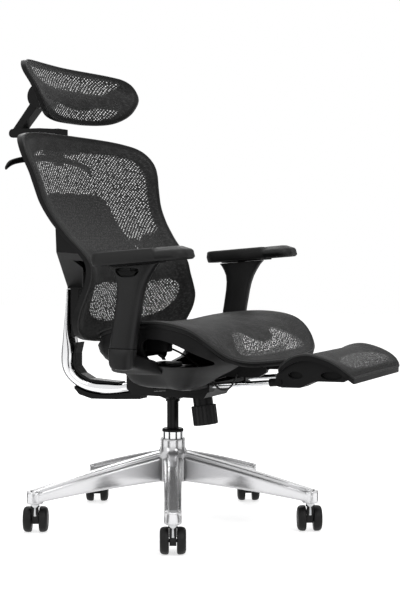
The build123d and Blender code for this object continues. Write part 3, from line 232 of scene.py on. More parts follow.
def smooth_step(x, low, high):
    """0 below low, 1 above high, and an even rise between them."""
    t = np.clip((x - low) / (high - low), 0, 1)
    return t * t * (3 - 2 * t)


def between(low, high, unit):
    """Values from -1 to 1 laid out between two ends."""
    return (low + high) / 2 + unit * (high - low) / 2


def place(left, forward, up):
    """Points of the frame, in metres, from millimetres left of, forward of and above the column."""
    left, forward, up = np.broadcast_arrays(left, forward, up)
    return np.stack([(left + COLUMN_X) * MM, (COLUMN_Y - forward) * MM, up * MM], -1)


# ------------ pieces and cutters


def in_scene(name, data):
    """A new object of the scene round its data."""
    made = bpy.data.objects.new(name, data)
    bpy.context.scene.collection.objects.link(made)
    return made


def mesh_of(name, vertices, faces):
    """A mesh in metres."""
    mesh = bpy.data.meshes.new(name)
    mesh.from_pydata([tuple(v) for v in vertices], [], faces)
    mesh.update()
    return mesh


def mesh_piece(name, vertices, faces, material, body, smooth=True):
    """A piece of the object that rides on a body."""
    mesh = mesh_of(name, vertices, faces)
    mesh.materials.append(material)
    if smooth:
        mesh.polygons.foreach_set("use_smooth", [True] * len(mesh.polygons))
    piece = in_scene(name, mesh)
    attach(piece, body)
    return piece


def ring_faces(rings, sides, start=0, closed=False):
    """Faces between rings of points that follow each other, and from the last to the first if closed."""
    faces = []
    for ring in range(rings if closed else rings - 1):
        a, b = start + ring * sides, start + (ring + 1) % rings * sides
        faces += [(a + i, a + (i + 1) % sides, b + (i + 1) % sides, b + i) for i in range(sides)]
    return faces


def end_faces(rings, sides, start=0):
    """The flat faces over the first ring and the last."""
    last = start + (rings - 1) * sides
    return [tuple(range(start, start + sides))[::-1], tuple(range(last, last + sides))]


def polar_grid(loop, centre, steps):
    """Points on rings drawn in from an outline to a centre, the outline last, and their faces."""
    count = len(loop)
    rings = [np.array([centre], float)] + [centre + (loop - centre) * share for share in steps]
    faces = [(0, 1 + i, 1 + (i + 1) % count) for i in range(count)]
    for ring in range(len(steps) - 1):
        a = 1 + ring * count
        b = a + count
        faces += [(a + i, b + i, b + (i + 1) % count, a + (i + 1) % count) for i in range(count)]
    return np.concatenate(rings), faces


def outward(piece):
    """Faces turned outward, and edges sharper than a limit kept crisp."""
    shape = bmesh.new()
    shape.from_mesh(piece.data)
    bmesh.ops.recalc_face_normals(shape, faces=shape.faces)
    shape.to_mesh(piece.data)
    shape.free()
    piece.data.set_sharp_from_angle(angle=CRISP)


def lofted(name, sections, material, body, smooth=True):
    """A closed skin through equal loops of points in millimetres, with flat ends."""
    rings, sides = len(sections), len(sections[0])
    piece = mesh_piece(name, place(*np.concatenate(sections).T),
                       ring_faces(rings, sides) + end_faces(rings, sides), material, body, smooth)
    outward(piece)
    return piece


def tube(name, path, radius, material, body, sides=10):
    """A round bead along a closed path of points in metres."""
    along = np.roll(path, -1, 0) - np.roll(path, 1, 0)
    along /= np.linalg.norm(along, axis=1)[:, None]
    # Any direction will do here that no path runs along.
    across = np.cross(along, np.array([0.31, 0.22, 0.92]))
    across /= np.linalg.norm(across, axis=1)[:, None]
    other = np.cross(along, across)
    wide, deep = squared_circle(sides, 2)
    rings = [point + radius * MM * (np.outer(wide, a) + np.outer(deep, b))
             for point, a, b in zip(path, across, other)]
    return mesh_piece(name, np.concatenate(rings), ring_faces(len(path), sides, closed=True),
                      material, body)


def turned(name, profile, origin, axis, material, body, sides=48, mirrored=False):
    """A turned piece: a profile of distances along an axis and radii, in millimetres."""
    axis = np.array(axis, float)
    u = np.cross(axis, (0, 0, 1) if abs(axis[2]) < 0.9 else (1, 0, 0))
    u /= np.linalg.norm(u)
    wide, deep = squared_circle(sides, 2)
    circle = np.outer(wide, u) + np.outer(deep, np.cross(axis, u))
    rings, faces = [], []
    for sign in ((1, -1) if mirrored else (1,)):
        faces += [face[::sign] for face in ring_faces(len(profile), sides, len(rings) * sides)]
        rings += [origin + sign * along * axis + radius * circle for along, radius in profile]
    return mesh_piece(name, np.concatenate(rings) * MM, faces, material, body)


def prism(outline, low, high, plane):
    """A straight cutter that runs from low to high, with its outline in the side, front or plan plane."""
    first, second = np.array(outline, float).T
    count = len(first)
    order = {"side": (2, 0, 1), "front": (0, 2, 1), "plan": (0, 1, 2)}[plane]
    ends = []
    for at in (low, high):
        values = (first, second, np.full(count, at))
        ends.append(place(*(values[i] for i in order)))
    faces = [tuple(range(count)), tuple(range(count, 2 * count))[::-1]]
    faces += [(i, (i + 1) % count, count + (i + 1) % count, count + i) for i in range(count)]
    return in_scene("cutter", mesh_of("cutter", np.concatenate(ends), faces))


def block(left, forward, up):
    """A cutter from three spans of millimetres."""
    (l0, l1), (f0, f1) = left, forward
    return prism([(l0, f0), (l1, f0), (l1, f1), (l0, f1)], *up, "plan")


def cut(piece, cutters):
    """Takes closed cutters out of a piece."""
    for cutter in cutters:
        outward(cutter)
        step = piece.modifiers.new("cut", "BOOLEAN")
        step.operation, step.solver, step.object = "DIFFERENCE", "EXACT", cutter
    bpy.context.view_layer.update()
    result = bpy.data.meshes.new_from_object(piece.evaluated_get(bpy.context.evaluated_depsgraph_get()))
    piece.modifiers.clear()
    piece.data = result
    for cutter in cutters:
        bpy.data.objects.remove(cutter)
    result.polygons.foreach_set("use_smooth", [True] * len(result.polygons))
    result.set_sharp_from_angle(angle=CRISP)


# ------------ materials


class Nodes:
    """Shader nodes that are made and joined by calls."""

    def __init__(self, tree):
        self.tree = tree

    def node(self, kind, inputs=None, **settings):
        made = self.tree.nodes.new("ShaderNode" + kind)
        for key, value in settings.items():
            setattr(made, key, value)
        for key, value in (inputs or {}).items():
            self.put(made.inputs[key], value)
        return made

    def put(self, socket, value):
        if isinstance(value, bpy.types.NodeSocket):
            self.tree.links.new(value, socket)
        else:
            socket.default_value = value

    def math(self, operation, a, b=0.0, clamp=False):
        return self.node("Math", {0: a, 1: b}, operation=operation, use_clamp=clamp).outputs[0]

    def place(self, kind="Object"):
        return self.node("TexCoord").outputs[kind]

    def noise(self, scale, detail=2.0, vector=None, roughness=0.5):
        inputs = {"Scale": scale, "Detail": detail, "Roughness": roughness,
                  "Vector": vector if vector is not None else self.place()}
        return self.node("TexNoise", inputs).outputs["Fac"]

    def span(self, value, low, high, to_low, to_high):
        """A value that is carried from one range to another, and held inside it."""
        inputs = {"Value": value, "From Min": low, "From Max": high, "To Min": to_low, "To Max": to_high}
        return self.node("MapRange", inputs).outputs["Result"]

    def sway(self, noise, low, high):
        """The middle of a noise, carried to a range."""
        return self.span(noise, 0.3, 0.7, low, high)

    def colours(self, value, *stops):
        ramp = self.node("ValToRGB", {"Fac": value})
        bands = ramp.color_ramp.elements
        while len(bands) < len(stops):
            bands.new(0.5)
        for band, (at, colour) in zip(bands, stops):
            band.position = at
            band.color = (*colour, 1)
        return ramp.outputs["Color"]

    def mix(self, share, a, b):
        made = self.node("Mix", data_type="RGBA")
        for index, value in ((0, share), (6, a), (7, b)):
            self.put(made.inputs[index], (*value, 1) if isinstance(value, tuple) else value)
        return made.outputs[2]

    def bump(self, height, strength, distance, normal=None):
        inputs = {"Height": height, "Strength": strength, "Distance": distance}
        if normal is not None:
            inputs["Normal"] = normal
        return self.node("Bump", inputs).outputs["Normal"]

    def soft_edges(self, radius):
        """The surface normal, rounded over sharp edges."""
        return self.node("Bevel", {"Radius": radius}, samples=6).outputs["Normal"]

    def edge_wear(self, normal):
        """0 on open surfaces and towards 1 along sharp edges."""
        plain = self.node("NewGeometry").outputs["Normal"]
        turned_by = self.node("VectorMath", {0: normal, 1: plain}, operation="DOT_PRODUCT").outputs["Value"]
        return self.span(turned_by, 0.995, 0.8, 0.0, 1.0)

    def looked_at(self):
        """1 for rays from the camera, from mirrors and through clear matter, and 0 for spread light."""
        path = self.node("LightPath").outputs
        return self.math("MAXIMUM", path["Is Camera Ray"],
                         self.math("MAXIMUM", path["Is Glossy Ray"], path["Is Transmission Ray"]))


class Look(Nodes):
    """A node material round one Principled shader."""

    def __init__(self, name, **values):
        self.material = bpy.data.materials.new(name)
        self.material.use_nodes = True
        super().__init__(self.material.node_tree)
        self.shader = self.tree.nodes["Principled BSDF"]
        for key, value in values.items():
            self.shader.inputs[key.replace("_", " ")].default_value = value

    def surface(self, colour, roughness, normal=None):
        """Joins the shader's main inputs, and hands over the material."""
        for key, value in (("Base Color", colour), ("Roughness", roughness), ("Normal", normal)):
            if value is not None:
                self.put(self.shader.inputs[key], value)
        return self.material


def grey(value):
    return (value, value, value)


def moulded(name, tone, roughness, grain, edge=1.2, gloss=0.20):
    """Moulded plastic: fine spark-eroded grain, faint flow marks, edges rubbed a little paler."""
    look = Look(name, Specular_IOR_Level=gloss)
    rounded = look.soft_edges(edge * MM)
    wear = look.math("MULTIPLY", look.edge_wear(rounded), 0.22)
    flow = look.noise(14, 3)
    fine = look.noise(grain)
    base = look.colours(flow, (0.35, (tone * 0.86, tone * 0.86, tone * 0.88)),
                        (0.65, (tone * 1.12, tone * 1.12, tone * 1.15)))
    return look.surface(look.mix(wear, base, grey(tone * 3.2)),
                        look.math("ADD", look.sway(fine, roughness - 0.05, roughness + 0.06),
                                  look.sway(flow, -0.03, 0.03)),
                        look.bump(fine, 0.16, 0.00025, rounded))


def metal(name, tone, roughness, edge, wave=0.0, streak=0.0, shade=0.0, polish=1.0, black_span=None):
    """Metal: slow waviness from casting or drawing, hairlines from polishing, and painted shade: ambient
    occlusion darkens its colour in corners and near other parts. The black span gives the two values of y
    between which the colour turns black."""
    look = Look(name, Metallic=polish)
    rounded = look.soft_edges(edge * MM)
    slow = look.noise(9)
    hair = look.noise(420, 3)
    tint = look.colours(slow, (0.3, tone), (0.7, tuple(min(1, t * 1.07) for t in tone)))
    # Painted shade: the colour falls towards tone times shade where ambient occlusion finds corners and
    # nearby parts.
    if shade:
        painted_shade_ao = look.node("AmbientOcclusion", {"Distance": 0.11}, samples=6).outputs["AO"]
        tint = look.mix(look.span(painted_shade_ao, 0.30, 0.92, 0.0, 1.0), tuple(t * shade for t in tone), tint)
    if black_span:
        along = look.node("SeparateXYZ", {0: look.place()}).outputs[1]
        tint = look.mix(look.span(along, *black_span, 0.0, 1.0), tint, grey(0.012))
    rough = look.math("ADD", look.sway(hair, roughness * 0.8, roughness * 1.25),
                      look.sway(slow, -streak, streak))
    normal = look.bump(slow, wave, 0.004, rounded) if wave else rounded
    return look.surface(tint, rough, look.bump(hair, 0.035, 0.0002, normal))


def knit(name, pitch, row, openness, yarn, fleck_and_glint, closed_tone, hem):
    """A jacquard knit: close and matt outside its open zones, a net of staggered holes in them, and a
    dark hem of so many millimetres. Yarn is the net's own tone; its palest tone is partly paler yarn and
    partly painted highlight, glints of light round the holes, strongest in the seat's knit."""
    look = Look(name, Specular_IOR_Level=0.14, Sheen_Weight=0.05, Sheen_Roughness=0.5)
    weave = look.place("UV")
    split = look.node("SeparateXYZ", {0: weave})
    across, along = split.outputs[0], split.outputs[1]
    shift = look.sway(look.noise(70, 2, weave), -0.9, 0.9)
    stretched = look.node("Mapping", {"Vector": weave, "Scale": (0.62, 1.0, 1.0)}).outputs[0]

    def wave(value, length):
        angle = look.math("MULTIPLY", value, 2 * math.pi / (length * MM))
        return look.math("SINE", look.math("ADD", angle, shift))

    def share(attribute, low, high):
        at = look.node("Attribute", attribute_name=attribute).outputs["Fac"]
        return look.span(at, low, high, 0.0, 1.0)

    cell = look.math("MULTIPLY", wave(across, pitch), wave(along, row))
    speckle = look.noise(210, 1, stretched, 0.8)
    cell = look.math("ADD", cell, look.sway(speckle, -0.5, 0.5))
    zone = share("open", -2.0, 3.0)
    hole = look.math("MULTIPLY", look.span(cell, openness, openness + 0.16, 0.0, 1.0), zone, clamp=True)

    rib = look.math("MULTIPLY", wave(across, 2.6), wave(along, 3.1))
    mottle = look.noise(165, 1, stretched, 0.8)
    drift = look.noise(24, 2, weave)
    figure = look.math("ADD", look.math("MULTIPLY", rib, 0.12),
                       look.math("ADD", mottle, look.sway(drift, -0.08, 0.08)))
    close = look.colours(figure, (0.36, grey(closed_tone * 0.35)), (0.52, grey(closed_tone)),
                         (0.68, grey(closed_tone * 3.2)))
    close = look.mix(share("edge", hem - 2.0, hem + 2.0), grey(closed_tone * 0.3), close)
    # The net turns to its palest tone round the holes: partly paler yarn, partly painted highlight.
    net = look.colours(look.math("ADD", look.math("MULTIPLY", cell, 0.35), speckle),
                       (0.42, grey(yarn * 0.6)), (0.58, grey(yarn)), (0.78, grey(fleck_and_glint)))
    height = look.math("ADD", look.math("MULTIPLY", rib, 0.5), look.math("MULTIPLY", cell, -0.4))
    look.surface(look.mix(zone, close, net), look.sway(mottle, 0.62, 0.82),
                 look.bump(mottle, 0.3, 0.0012, look.bump(height, 0.5, 0.0008)))
    join = look.node("MixShader", {0: hole, 1: look.shader.outputs[0],
                                   2: look.node("BsdfTransparent").outputs[0]})
    look.put(look.tree.nodes["Material Output"].inputs["Surface"], join.outputs[0])
    return look.material


def binding_look():
    """A twill tape round the edge of a panel."""
    look = Look("binding", Specular_IOR_Level=0.3)
    twill = look.node("TexWave", {"Scale": 520.0, "Distortion": 1.5, "Vector": look.place()}).outputs["Fac"]
    return look.surface(look.colours(twill, (0.2, grey(0.006)), (0.8, grey(0.014))),
                        look.span(twill, 0, 1, 0.62, 0.5), look.bump(twill, 0.3, 0.0004))


def pad_look():
    """Soft foamed skin of the armrest pads: pebble grain over a satin surface."""
    look = Look("soft_pad", Specular_IOR_Level=0.26)
    cells = look.node("TexVoronoi", {"Scale": 620.0, "Vector": look.place()}, feature="SMOOTH_F1")
    pebble = cells.outputs["Distance"]
    rub = look.noise(16)
    return look.surface(look.colours(rub, (0.3, grey(0.004)), (0.7, grey(0.008))),
                        look.math("ADD", look.span(pebble, 0, 0.6, 0.46, 0.54), look.sway(rub, -0.05, 0.05)),
                        look.bump(pebble, 0.22, 0.0004, look.bump(rub, 0.1, 0.002)))


def rubber_look(name, tone):
    """Dusty rubber or soft plastic."""
    look = Look(name, Specular_IOR_Level=0.2)
    dust = look.noise(55, 3)
    grain = look.noise(900)
    return look.surface(look.colours(dust, (0.35, grey(tone)), (0.75, grey(tone * 1.9))),
                        look.sway(dust, 0.42, 0.6), look.bump(grain, 0.12, 0.0003, look.soft_edges(1.4 * MM)))


def ribbed_look(name, tone, pitch):
    """Plastic with fine ribs across the chair, as the lumbar plate shows through the mesh. The grooves are
    painted darker and the crests paler: painted shade and painted highlight.
    """
    look = Look(name, Specular_IOR_Level=0.2)
    up = look.node("SeparateXYZ", {0: look.place()}).outputs[2]
    rib = look.math("SINE", look.math("MULTIPLY", up, 2 * math.pi / (pitch * MM)))
    fine = look.noise(700)
    # Painted shade in the grooves and painted highlight on the crests of the ribs.
    return look.surface(
        look.colours(look.span(rib, -1, 1, 0, 1), (0.1, grey(tone * 0.6)), (0.7, grey(tone * 1.2))),
        look.sway(fine, 0.42, 0.55),
        look.bump(fine, 0.15, 0.0003, look.bump(rib, 0.5, 0.0012, look.soft_edges(1.5 * MM))))


def cable_look():
    """The smooth sheath of the cable."""
    look = Look("cable_sheath", Specular_IOR_Level=0.4)
    fine = look.noise(600)
    return look.surface(look.colours(fine, (0.3, grey(0.006)), (0.7, grey(0.012))),
                        look.sway(fine, 0.34, 0.46), look.bump(fine, 0.1, 0.0003))


def floor_look():
    """A pale floor that is white to the camera and in mirrors."""
    look = Look("pale_floor", Specular_IOR_Level=0.1)
    cloud = look.noise(1.3)
    look.surface(look.colours(cloud, (0.3, grey(0.80)), (0.7, grey(0.82))), 0.9)
    look.put(look.shader.inputs["Emission Color"], (1, 1, 1, 1))
    look.put(look.shader.inputs["Emission Strength"], look.math("MULTIPLY", look.looked_at(), 0.62))
    return look.material


# The y up to which the footrest's rods are bright, and the y from which they are black.
ROD_BLACK_SPAN = ((COLUMN_Y - 152) * MM, (COLUMN_Y - 148) * MM)

# Shade darkens these metals in their corners and near other parts: painted shade.
ALUMINIUM = metal("polished_aluminium", (0.66, 0.66, 0.67), 0.14, edge=7.5, wave=0.10, streak=0.02,
                  shade=0.35, polish=0.72)
ARM_METAL = metal("polished_arm", (0.76, 0.76, 0.77), 0.09, edge=1.2, wave=0.06, streak=0.02, shade=0.35)
CHROME = metal("chrome", (0.78, 0.79, 0.80), 0.06, edge=0.8, shade=0.3)
ROD_CHROME = metal("chrome_rod", (0.78, 0.79, 0.80), 0.07, edge=0.5, black_span=ROD_BLACK_SPAN)
STEEL = metal("zinc_steel", (0.52, 0.53, 0.54), 0.28, edge=0.5, streak=0.05)
BLACK_STEEL = moulded("black_enamel", 0.006, 0.32, 500, edge=0.8, gloss=0.14)
ARM_PLASTIC = moulded("arm_plastic", 0.011, 0.40, 1100, edge=1.8)
SHELL_PLASTIC = moulded("shell_plastic", 0.0075, 0.44, 1000, edge=1.6, gloss=0.09)
FRAME_PLASTIC = moulded("frame_plastic", 0.005, 0.44, 1100, edge=1.6, gloss=0.13)
HIDDEN_PLASTIC = moulded("mechanism_plastic", 0.005, 0.46, 900, edge=1.0, gloss=0.10)
CASTER_HOOD = moulded("caster_hood", 0.008, 0.34, 900, edge=1.5)
CASTER_TREAD = rubber_look("caster_tread", 0.006)
KNOB = moulded("knob_plastic", 0.010, 0.44, 800, edge=0.5)
LUMBAR = ribbed_look("lumbar_plate", 0.015, pitch=6.5)
BINDING = binding_look()
SOFT_PAD = pad_look()
BACK_KNIT = knit("back_knit", pitch=12.0, row=8.4, openness=0.63, yarn=0.020, fleck_and_glint=0.07,
                 closed_tone=0.0100, hem=12.0)
# The seat's palest net tone is mostly painted highlight.
SEAT_KNIT = knit("seat_knit", pitch=10.0, row=9.0, openness=0.69, yarn=0.028, fleck_and_glint=0.36,
                 closed_tone=0.014, hem=8.0)

# Each material with the starts of its nodes' names. The longest start that fits a node wins, and nodes
# that none fits are of the plastic that hardly shows.
FINISHES = [
    (ALUMINIUM, "star_base"), (CASTER_HOOD, "caster_body"), (CASTER_TREAD, "caster_wheels"),
    (CHROME, "gas_lift_outer_tube gas_lift_rod"), (ROD_CHROME, "footrest_rods"),
    (STEEL, "gas_lift_bearing gas_lift_clip"), (ARM_METAL, "back_arm"), (LUMBAR, "lumbar_pad"),
    (KNOB, "tension_knob"), (ARM_PLASTIC, "height_lever recline_lever arm_"), (HIDDEN_PLASTIC, "arm_button"),
    (BLACK_STEEL, "gas_lift_tube mechanism_housing seat_bolts recline_pin arm_blade footrest_guides"),
    (SHELL_PLASTIC, "seat_frame footrest_frame"),
    (FRAME_PLASTIC, "seat_ring back_arm_trim back_upright back_frame back_bracket coat_hanger headrest_mount "
                    "headrest_stem headrest_link headrest_frame headrest_hinge"),
]
FINISH_OF = {start: material for material, starts in FINISHES for start in starts.split()}


def finish_for(node):
    """The material of the longest start that fits a node's name."""
    fits = [start for start in FINISH_OF if node.startswith(start)]
    return FINISH_OF[max(fits, key=len)] if fits else HIDDEN_PLASTIC


for node_name, node_object in nodes.items():
    node_object.data.materials.clear()
    node_object.data.materials.append(finish_for(node_name))

# ------------ mesh panels and their bindings

PANEL_STEPS = np.concatenate([np.linspace(0, 0.78, 26)[1:], np.linspace(0.78, 1, 18)[1:]])


def surface_of(line, curve):
    """A surface across the chair. With a curve it stands: its line gives the forward place at each height,
    and its sides sweep forward. Without one it lies: its line gives the height at each forward place."""
    if curve:
        return lambda across, up, depth: place(across, line(up) + curve * across**2 + depth, up)
    return lambda across, forward, depth: place(across, forward, line(forward) + depth)


def taut(front, sunk, start, end):
    """Depth of a panel by its distance from the edge: over the frame first, then at the mesh's own level."""
    return lambda edge: front + (sunk - front) * smooth_step(edge, start, end)


def panel(body, line, curve, loop, middle, depth, zones, material):
    """A knitted panel over its frame."""
    flat, faces = polar_grid(loop, np.array(middle, float), PANEL_STEPS)
    edge = np.maximum(inside_distance(flat, loop), 0)
    vertices = surface_of(line, curve)(flat[:, 0], flat[:, 1], depth(edge))
    if curve:
        faces = [face[::-1] for face in faces]
    piece = mesh_piece(f"{body}_fabric", vertices, faces, material, body)
    open_at = np.max([inside_distance(flat, even_loop(smooth_loop(zone), 160)) for zone in zones], axis=0)
    for label, values in (("open", open_at), ("edge", edge)):
        attribute = piece.data.attributes.new(label, "FLOAT", "POINT")
        attribute.data.foreach_set("value", values.astype(np.float32))
    layer = piece.data.uv_layers.new(name="weave")
    weave = np.stack([flat[:, 0] * MM, along_line(line)(flat[:, 1]) * MM], 1)
    corners = np.zeros(len(piece.data.loops), np.int32)
    piece.data.loops.foreach_get("vertex_index", corners)
    layer.data.foreach_set("uv", weave[corners].astype(np.float32).ravel())
    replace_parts(piece, f"{body}_mesh")
    return piece


def bead(body, line, curve, loop, depth, radius, inset):
    """The binding that follows a panel's edge."""
    middle = loop.mean(0)
    drawn = loop + (middle - loop) / np.linalg.norm(middle - loop, axis=1)[:, None] * inset
    path = surface_of(line, curve)(drawn[:, 0], drawn[:, 1], depth)
    tube(f"{body}_binding", path, radius, BINDING, body)


seat_line = Line(SEAT_LINE)
seat_loop = outline_loop(SEAT_OUTLINE)
foot_loop = rounded_loop(FOOT_HALF, FOOT_BACK, FOOT_FRONT, FOOT_ROUND)

# Body, line, curve of a standing panel, outline and its middle, depth of the knit, open zones, material.
PANELS = [
    ("back", Line(BACK_LINE), BACK_CURVE, outline_loop(BACK_OUTLINE), (0, 690), taut(8.0, 1.0, 13, 60),
     BACK_OPEN, BACK_KNIT),
    ("headrest", Line(HEAD_LINE), HEAD_CURVE, outline_loop(HEAD_OUTLINE), (0, 1040), taut(7.0, 1.0, 9, 36),
     HEAD_OPEN, BACK_KNIT),
    ("seat", seat_line, 0, seat_loop, (0, 110), taut(1.2, -5.5, 20, 95), SEAT_OPEN, SEAT_KNIT),
    ("footrest", Line(FOOT_LINE), 0, foot_loop, (0, 426), taut(1.2, -3.0, 14, 50), FOOT_OPEN, SEAT_KNIT),
]
# Depth, radius and inset of each panel's binding.
BEADS = [(6.6, 2.3, 1.6), (5.8, 2.0, 1.4), (-1.2, 2.8, 1.2), (-1.2, 2.6, 1.0)]

back_fabric, head_fabric, seat_fabric, foot_fabric = [panel(*row) for row in PANELS]
for row, sizes in zip(PANELS, BEADS):
    bead(*row[:4], *sizes)

# ------------ armrest pads

PAD_F = 74.0
PAD_TOP_Z = 659.5
PAD_L = 290.0
PAD_HALF_WIDTH = 42.0
PAD_HALF_LENGTH = 119.0
PAD_THICK = 29.5
PAD_CORNER = 30
PAD_NARROWER = 0.10
PAD_RISE = math.radians(4.6)
PAD_WALL = (7, 9)
PAD_SHELL = 3.0
BEVEL_START = (44, 54)
BEVEL_DROP = 10.0
BEVEL_WIDTH = 26
HOLLOW_TOP = 1.4


def pad_outline():
    """The pad seen from above: narrower at the rear. Across, then rearward."""
    loop = rounded_loop(PAD_HALF_WIDTH, -PAD_HALF_LENGTH, PAD_HALF_LENGTH, PAD_CORNER, 200)
    narrow = 1 - PAD_NARROWER * smooth_step(loop[:, 1], 0, PAD_HALF_LENGTH)
    return loop * np.stack([narrow, np.ones(len(loop))], 1)


def round_over(edge, radius, power):
    """The share of full depth at a distance from the edge, over a rounded edge."""
    return (1 - np.clip(1 - edge / radius, 0, 1) ** power) ** (1 / power)


def arm_pad(side, name):
    """A pad with a rounded edge, a bevel over its front third and a recess below for its base."""
    loop = pad_outline()
    steps = np.concatenate([np.linspace(0, 0.72, 9)[1:], np.linspace(0.72, 1, 15)[1:]])
    flat, top_faces = polar_grid(loop, np.zeros(2), steps)
    edge = np.maximum(inside_distance(flat, loop), 0)
    half = PAD_THICK / 2
    bevel = smooth_step(-flat[:, 1], *BEVEL_START)
    top = -half + half * round_over(edge, 8.0, 2.6)
    top -= (bevel * BEVEL_DROP * np.clip(1 - edge / BEVEL_WIDTH, 0, 1)
            + HOLLOW_TOP * smooth_step(edge, 14, 40) * (1 - bevel))
    low = -half - half * round_over(edge, 6.0, 2.2) + (half - PAD_SHELL) * smooth_step(edge, *PAD_WALL)
    inner = len(flat) - len(loop)
    local = np.concatenate([np.column_stack([flat, top]), np.column_stack([flat, low])[:inner]])
    below = [len(flat) + i if i < inner else i for i in range(len(flat))]
    faces = list(top_faces) + [tuple(below[i] for i in face[::-1]) for face in top_faces]
    left = side * PAD_L + local[:, 0]
    forward = PAD_F - local[:, 1] * math.cos(PAD_RISE) - local[:, 2] * math.sin(PAD_RISE)
    up = PAD_TOP_Z - local[:, 1] * math.sin(PAD_RISE) + local[:, 2] * math.cos(PAD_RISE)
    piece = mesh_piece(f"soft_pad_{name}", place(left, forward, up), faces, SOFT_PAD,
                       f"arm_pad_{name}")
    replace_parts(piece, f"arm_pad_{name}")


for side, name in HANDS:
    arm_pad(side, name)

# ------------ seat rim, shell and what hangs in it

# The shell's size as a share of the seat's outline at each height, and the share that its wall takes.
SHELL_MIDDLE = 75.0
SHELL_LEVELS = [341, 347, 358, 376, 390, 398, 408, 425, 441, 451, 515]
SHELL_REAR = [0.56, 0.68, 0.73, 0.76, 0.80, 0.87, 0.96, 1.02, 1.035, 0.99, 0.99]
SHELL_FRONT = [0.30, 0.38, 0.50, 0.62, 0.74, 0.80, 0.86, 0.92, 0.955, 0.96, 0.975]
SHELL_WIDE = [0.56, 0.63, 0.68, 0.76, 0.83, 0.87, 0.91, 0.96, 0.985, 0.985, 0.985]
SHELL_WALL = 0.036
SHELL_FLOOR = 7.0
SHELL_BELOW_RIM = 9.0
# The openings: forward and up in the side wings, left and up at the rear, and blocks of three spans.
EYE = [
    (54, 460), (90, 463), (126, 461), (164, 451), (200, 436), (232, 419), (228, 409), (180, 404), (112, 401),
    (78, 402), (58, 410), (50, 436)
]
EYE_REACH = (150, 330)
REAR_SLOT = [
    (62, 380), (80, 378), (104, 382), (150, 390), (186, 401), (207, 417), (205, 428), (165, 421), (128, 412),
    (96, 404), (64, 392)
]
REAR_REACH = (-160, -22)
SHELL_MOUTH = ((-165, 165), (150, 330), (320, 470))
SHELL_BLOCKS = [((-63, 63), (-160, 128), (300, 400)), ((-115, -85), (92, 165), (356, 400)),
                ((85, 115), (92, 165), (356, 400))]
# The rim's section: distance in from the outline, height over the line of the seat.
RIM = [
    (0.0, -5.5), (0.4, -2.5), (2.0, -0.5), (5.0, 0.3), (14.0, 0.0), (22.0, -1.0), (24.0, -4.0), (23.0, -9.0),
    (16.0, -13.5), (6.0, -14.5), (1.6, -12.5), (0.2, -9.0)
]
# Rows of up, rear, front and half width.
LID = [(378.5, -60, 6, 56), (382, -60, 6, 56), (385, -58, 4, 54), (386, -52, -2, 48)]
BOSS = [(430, 36, 90, 14), (431, 34, 92, 15), (455, 34, 92, 15), (457, 36, 90, 14)]
BOSS_L = 188.0
# Painted shade: dark sheets just inside the holes of the footrest's side plates, standing in for the shade
# there. Forward and up at the corners, and the two lefts.
HOLE_SHADE_SHEET = [(362, 378), (492, 378), (486, 400), (372, 400)]
HOLE_SHADE_SHEET_L = (156.5, 158.5)


def seat_rim():
    """The rim under the edge of the seat's mesh: a rounded band that follows the outline."""
    step = inward_of(seat_loop)
    rows = []
    for inset, depth in RIM:
        points = seat_loop + step * inset
        rows.append(np.stack([points[:, 0], points[:, 1], seat_line(points[:, 1]) + depth], 1))
    faces = ring_faces(len(RIM), len(seat_loop), closed=True)
    piece = mesh_piece("seat_rim", place(*np.concatenate(rows).T), faces, FRAME_PLASTIC, "seat")
    outward(piece)
    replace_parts(piece, "seat_ring")


def shell_section(share, wall):
    """One ring of the shell, a share of the way from its floor to the rim, drawn in by the wall."""
    lift = SHELL_FLOOR if wall else 0.0
    floor = SHELL_LEVELS[0] + lift
    top = seat_line(seat_loop[:, 1]) - SHELL_BELOW_RIM
    up = floor + (top - floor) * share
    wide, rear, front = (np.interp(up - lift, SHELL_LEVELS, row) - wall
                         for row in (SHELL_WIDE, SHELL_REAR, SHELL_FRONT))
    offset = seat_loop[:, 1] - SHELL_MIDDLE
    long = np.where(offset < 0, rear, front)
    return np.stack([seat_loop[:, 0] * wide, SHELL_MIDDLE + offset * long, up], 1)


def seat_shell():
    """The moulded bowl under the seat, open at the front, with an opening in each side wing."""
    shares = np.concatenate([[0, 0.03], np.linspace(0.08, 1, 22)])
    sections = [shell_section(share, 0.0) for share in shares]
    sections += [shell_section(share, SHELL_WALL) for share in shares[::-1]]
    piece = lofted("seat_shell", sections, SHELL_PLASTIC, "seat")
    eye = even_loop(smooth_loop(EYE), 72)
    near, far = EYE_REACH
    cut(piece, [prism(eye, near, far, "side"), prism(eye, -far, -near, "side"), block(*SHELL_MOUTH),
                prism(REAR_SLOT, *REAR_REACH, "front"),
                prism([(-left, up) for left, up in REAR_SLOT], *REAR_REACH, "front"),
                *(block(*spans) for spans in SHELL_BLOCKS)])
    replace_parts(piece, "seat_frame")


def bar_section(up, rear, front, half, middle, power=3.4, tilt=0.0):
    """A rounded rectangle across an upright bar, tilted with the pad by a share."""
    across, deep = squared_circle(56, power)
    forward = between(rear, front, deep)
    return np.stack([middle + across * half, forward, up + (forward - 50) * math.tan(PAD_RISE) * tilt], 1)


def boxy(name, rows, middle):
    """A dark block with rounded corners from rows of up, rear, front and half width."""
    return lofted(name, [bar_section(*row, middle, 5.0) for row in rows], HIDDEN_PLASTIC, "seat")


seat_rim()
seat_shell()
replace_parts(boxy("spring_cover", LID, 0.0), "mechanism_cover")
for side, name in HANDS:
    boxy(f"screw_boss_{name}", BOSS, side * BOSS_L)
# Painted shade: dark sheets behind the holes of the footrest's side plates.
for side, name in HANDS:
    sections = [np.array([(side * at, forward, up) for forward, up in HOLE_SHADE_SHEET]) for at in HOLE_SHADE_SHEET_L]
    lofted(f"hole_shade_sheet_{name}", sections, HIDDEN_PLASTIC, "footrest", smooth=False)

# ------------ arm posts and their sockets

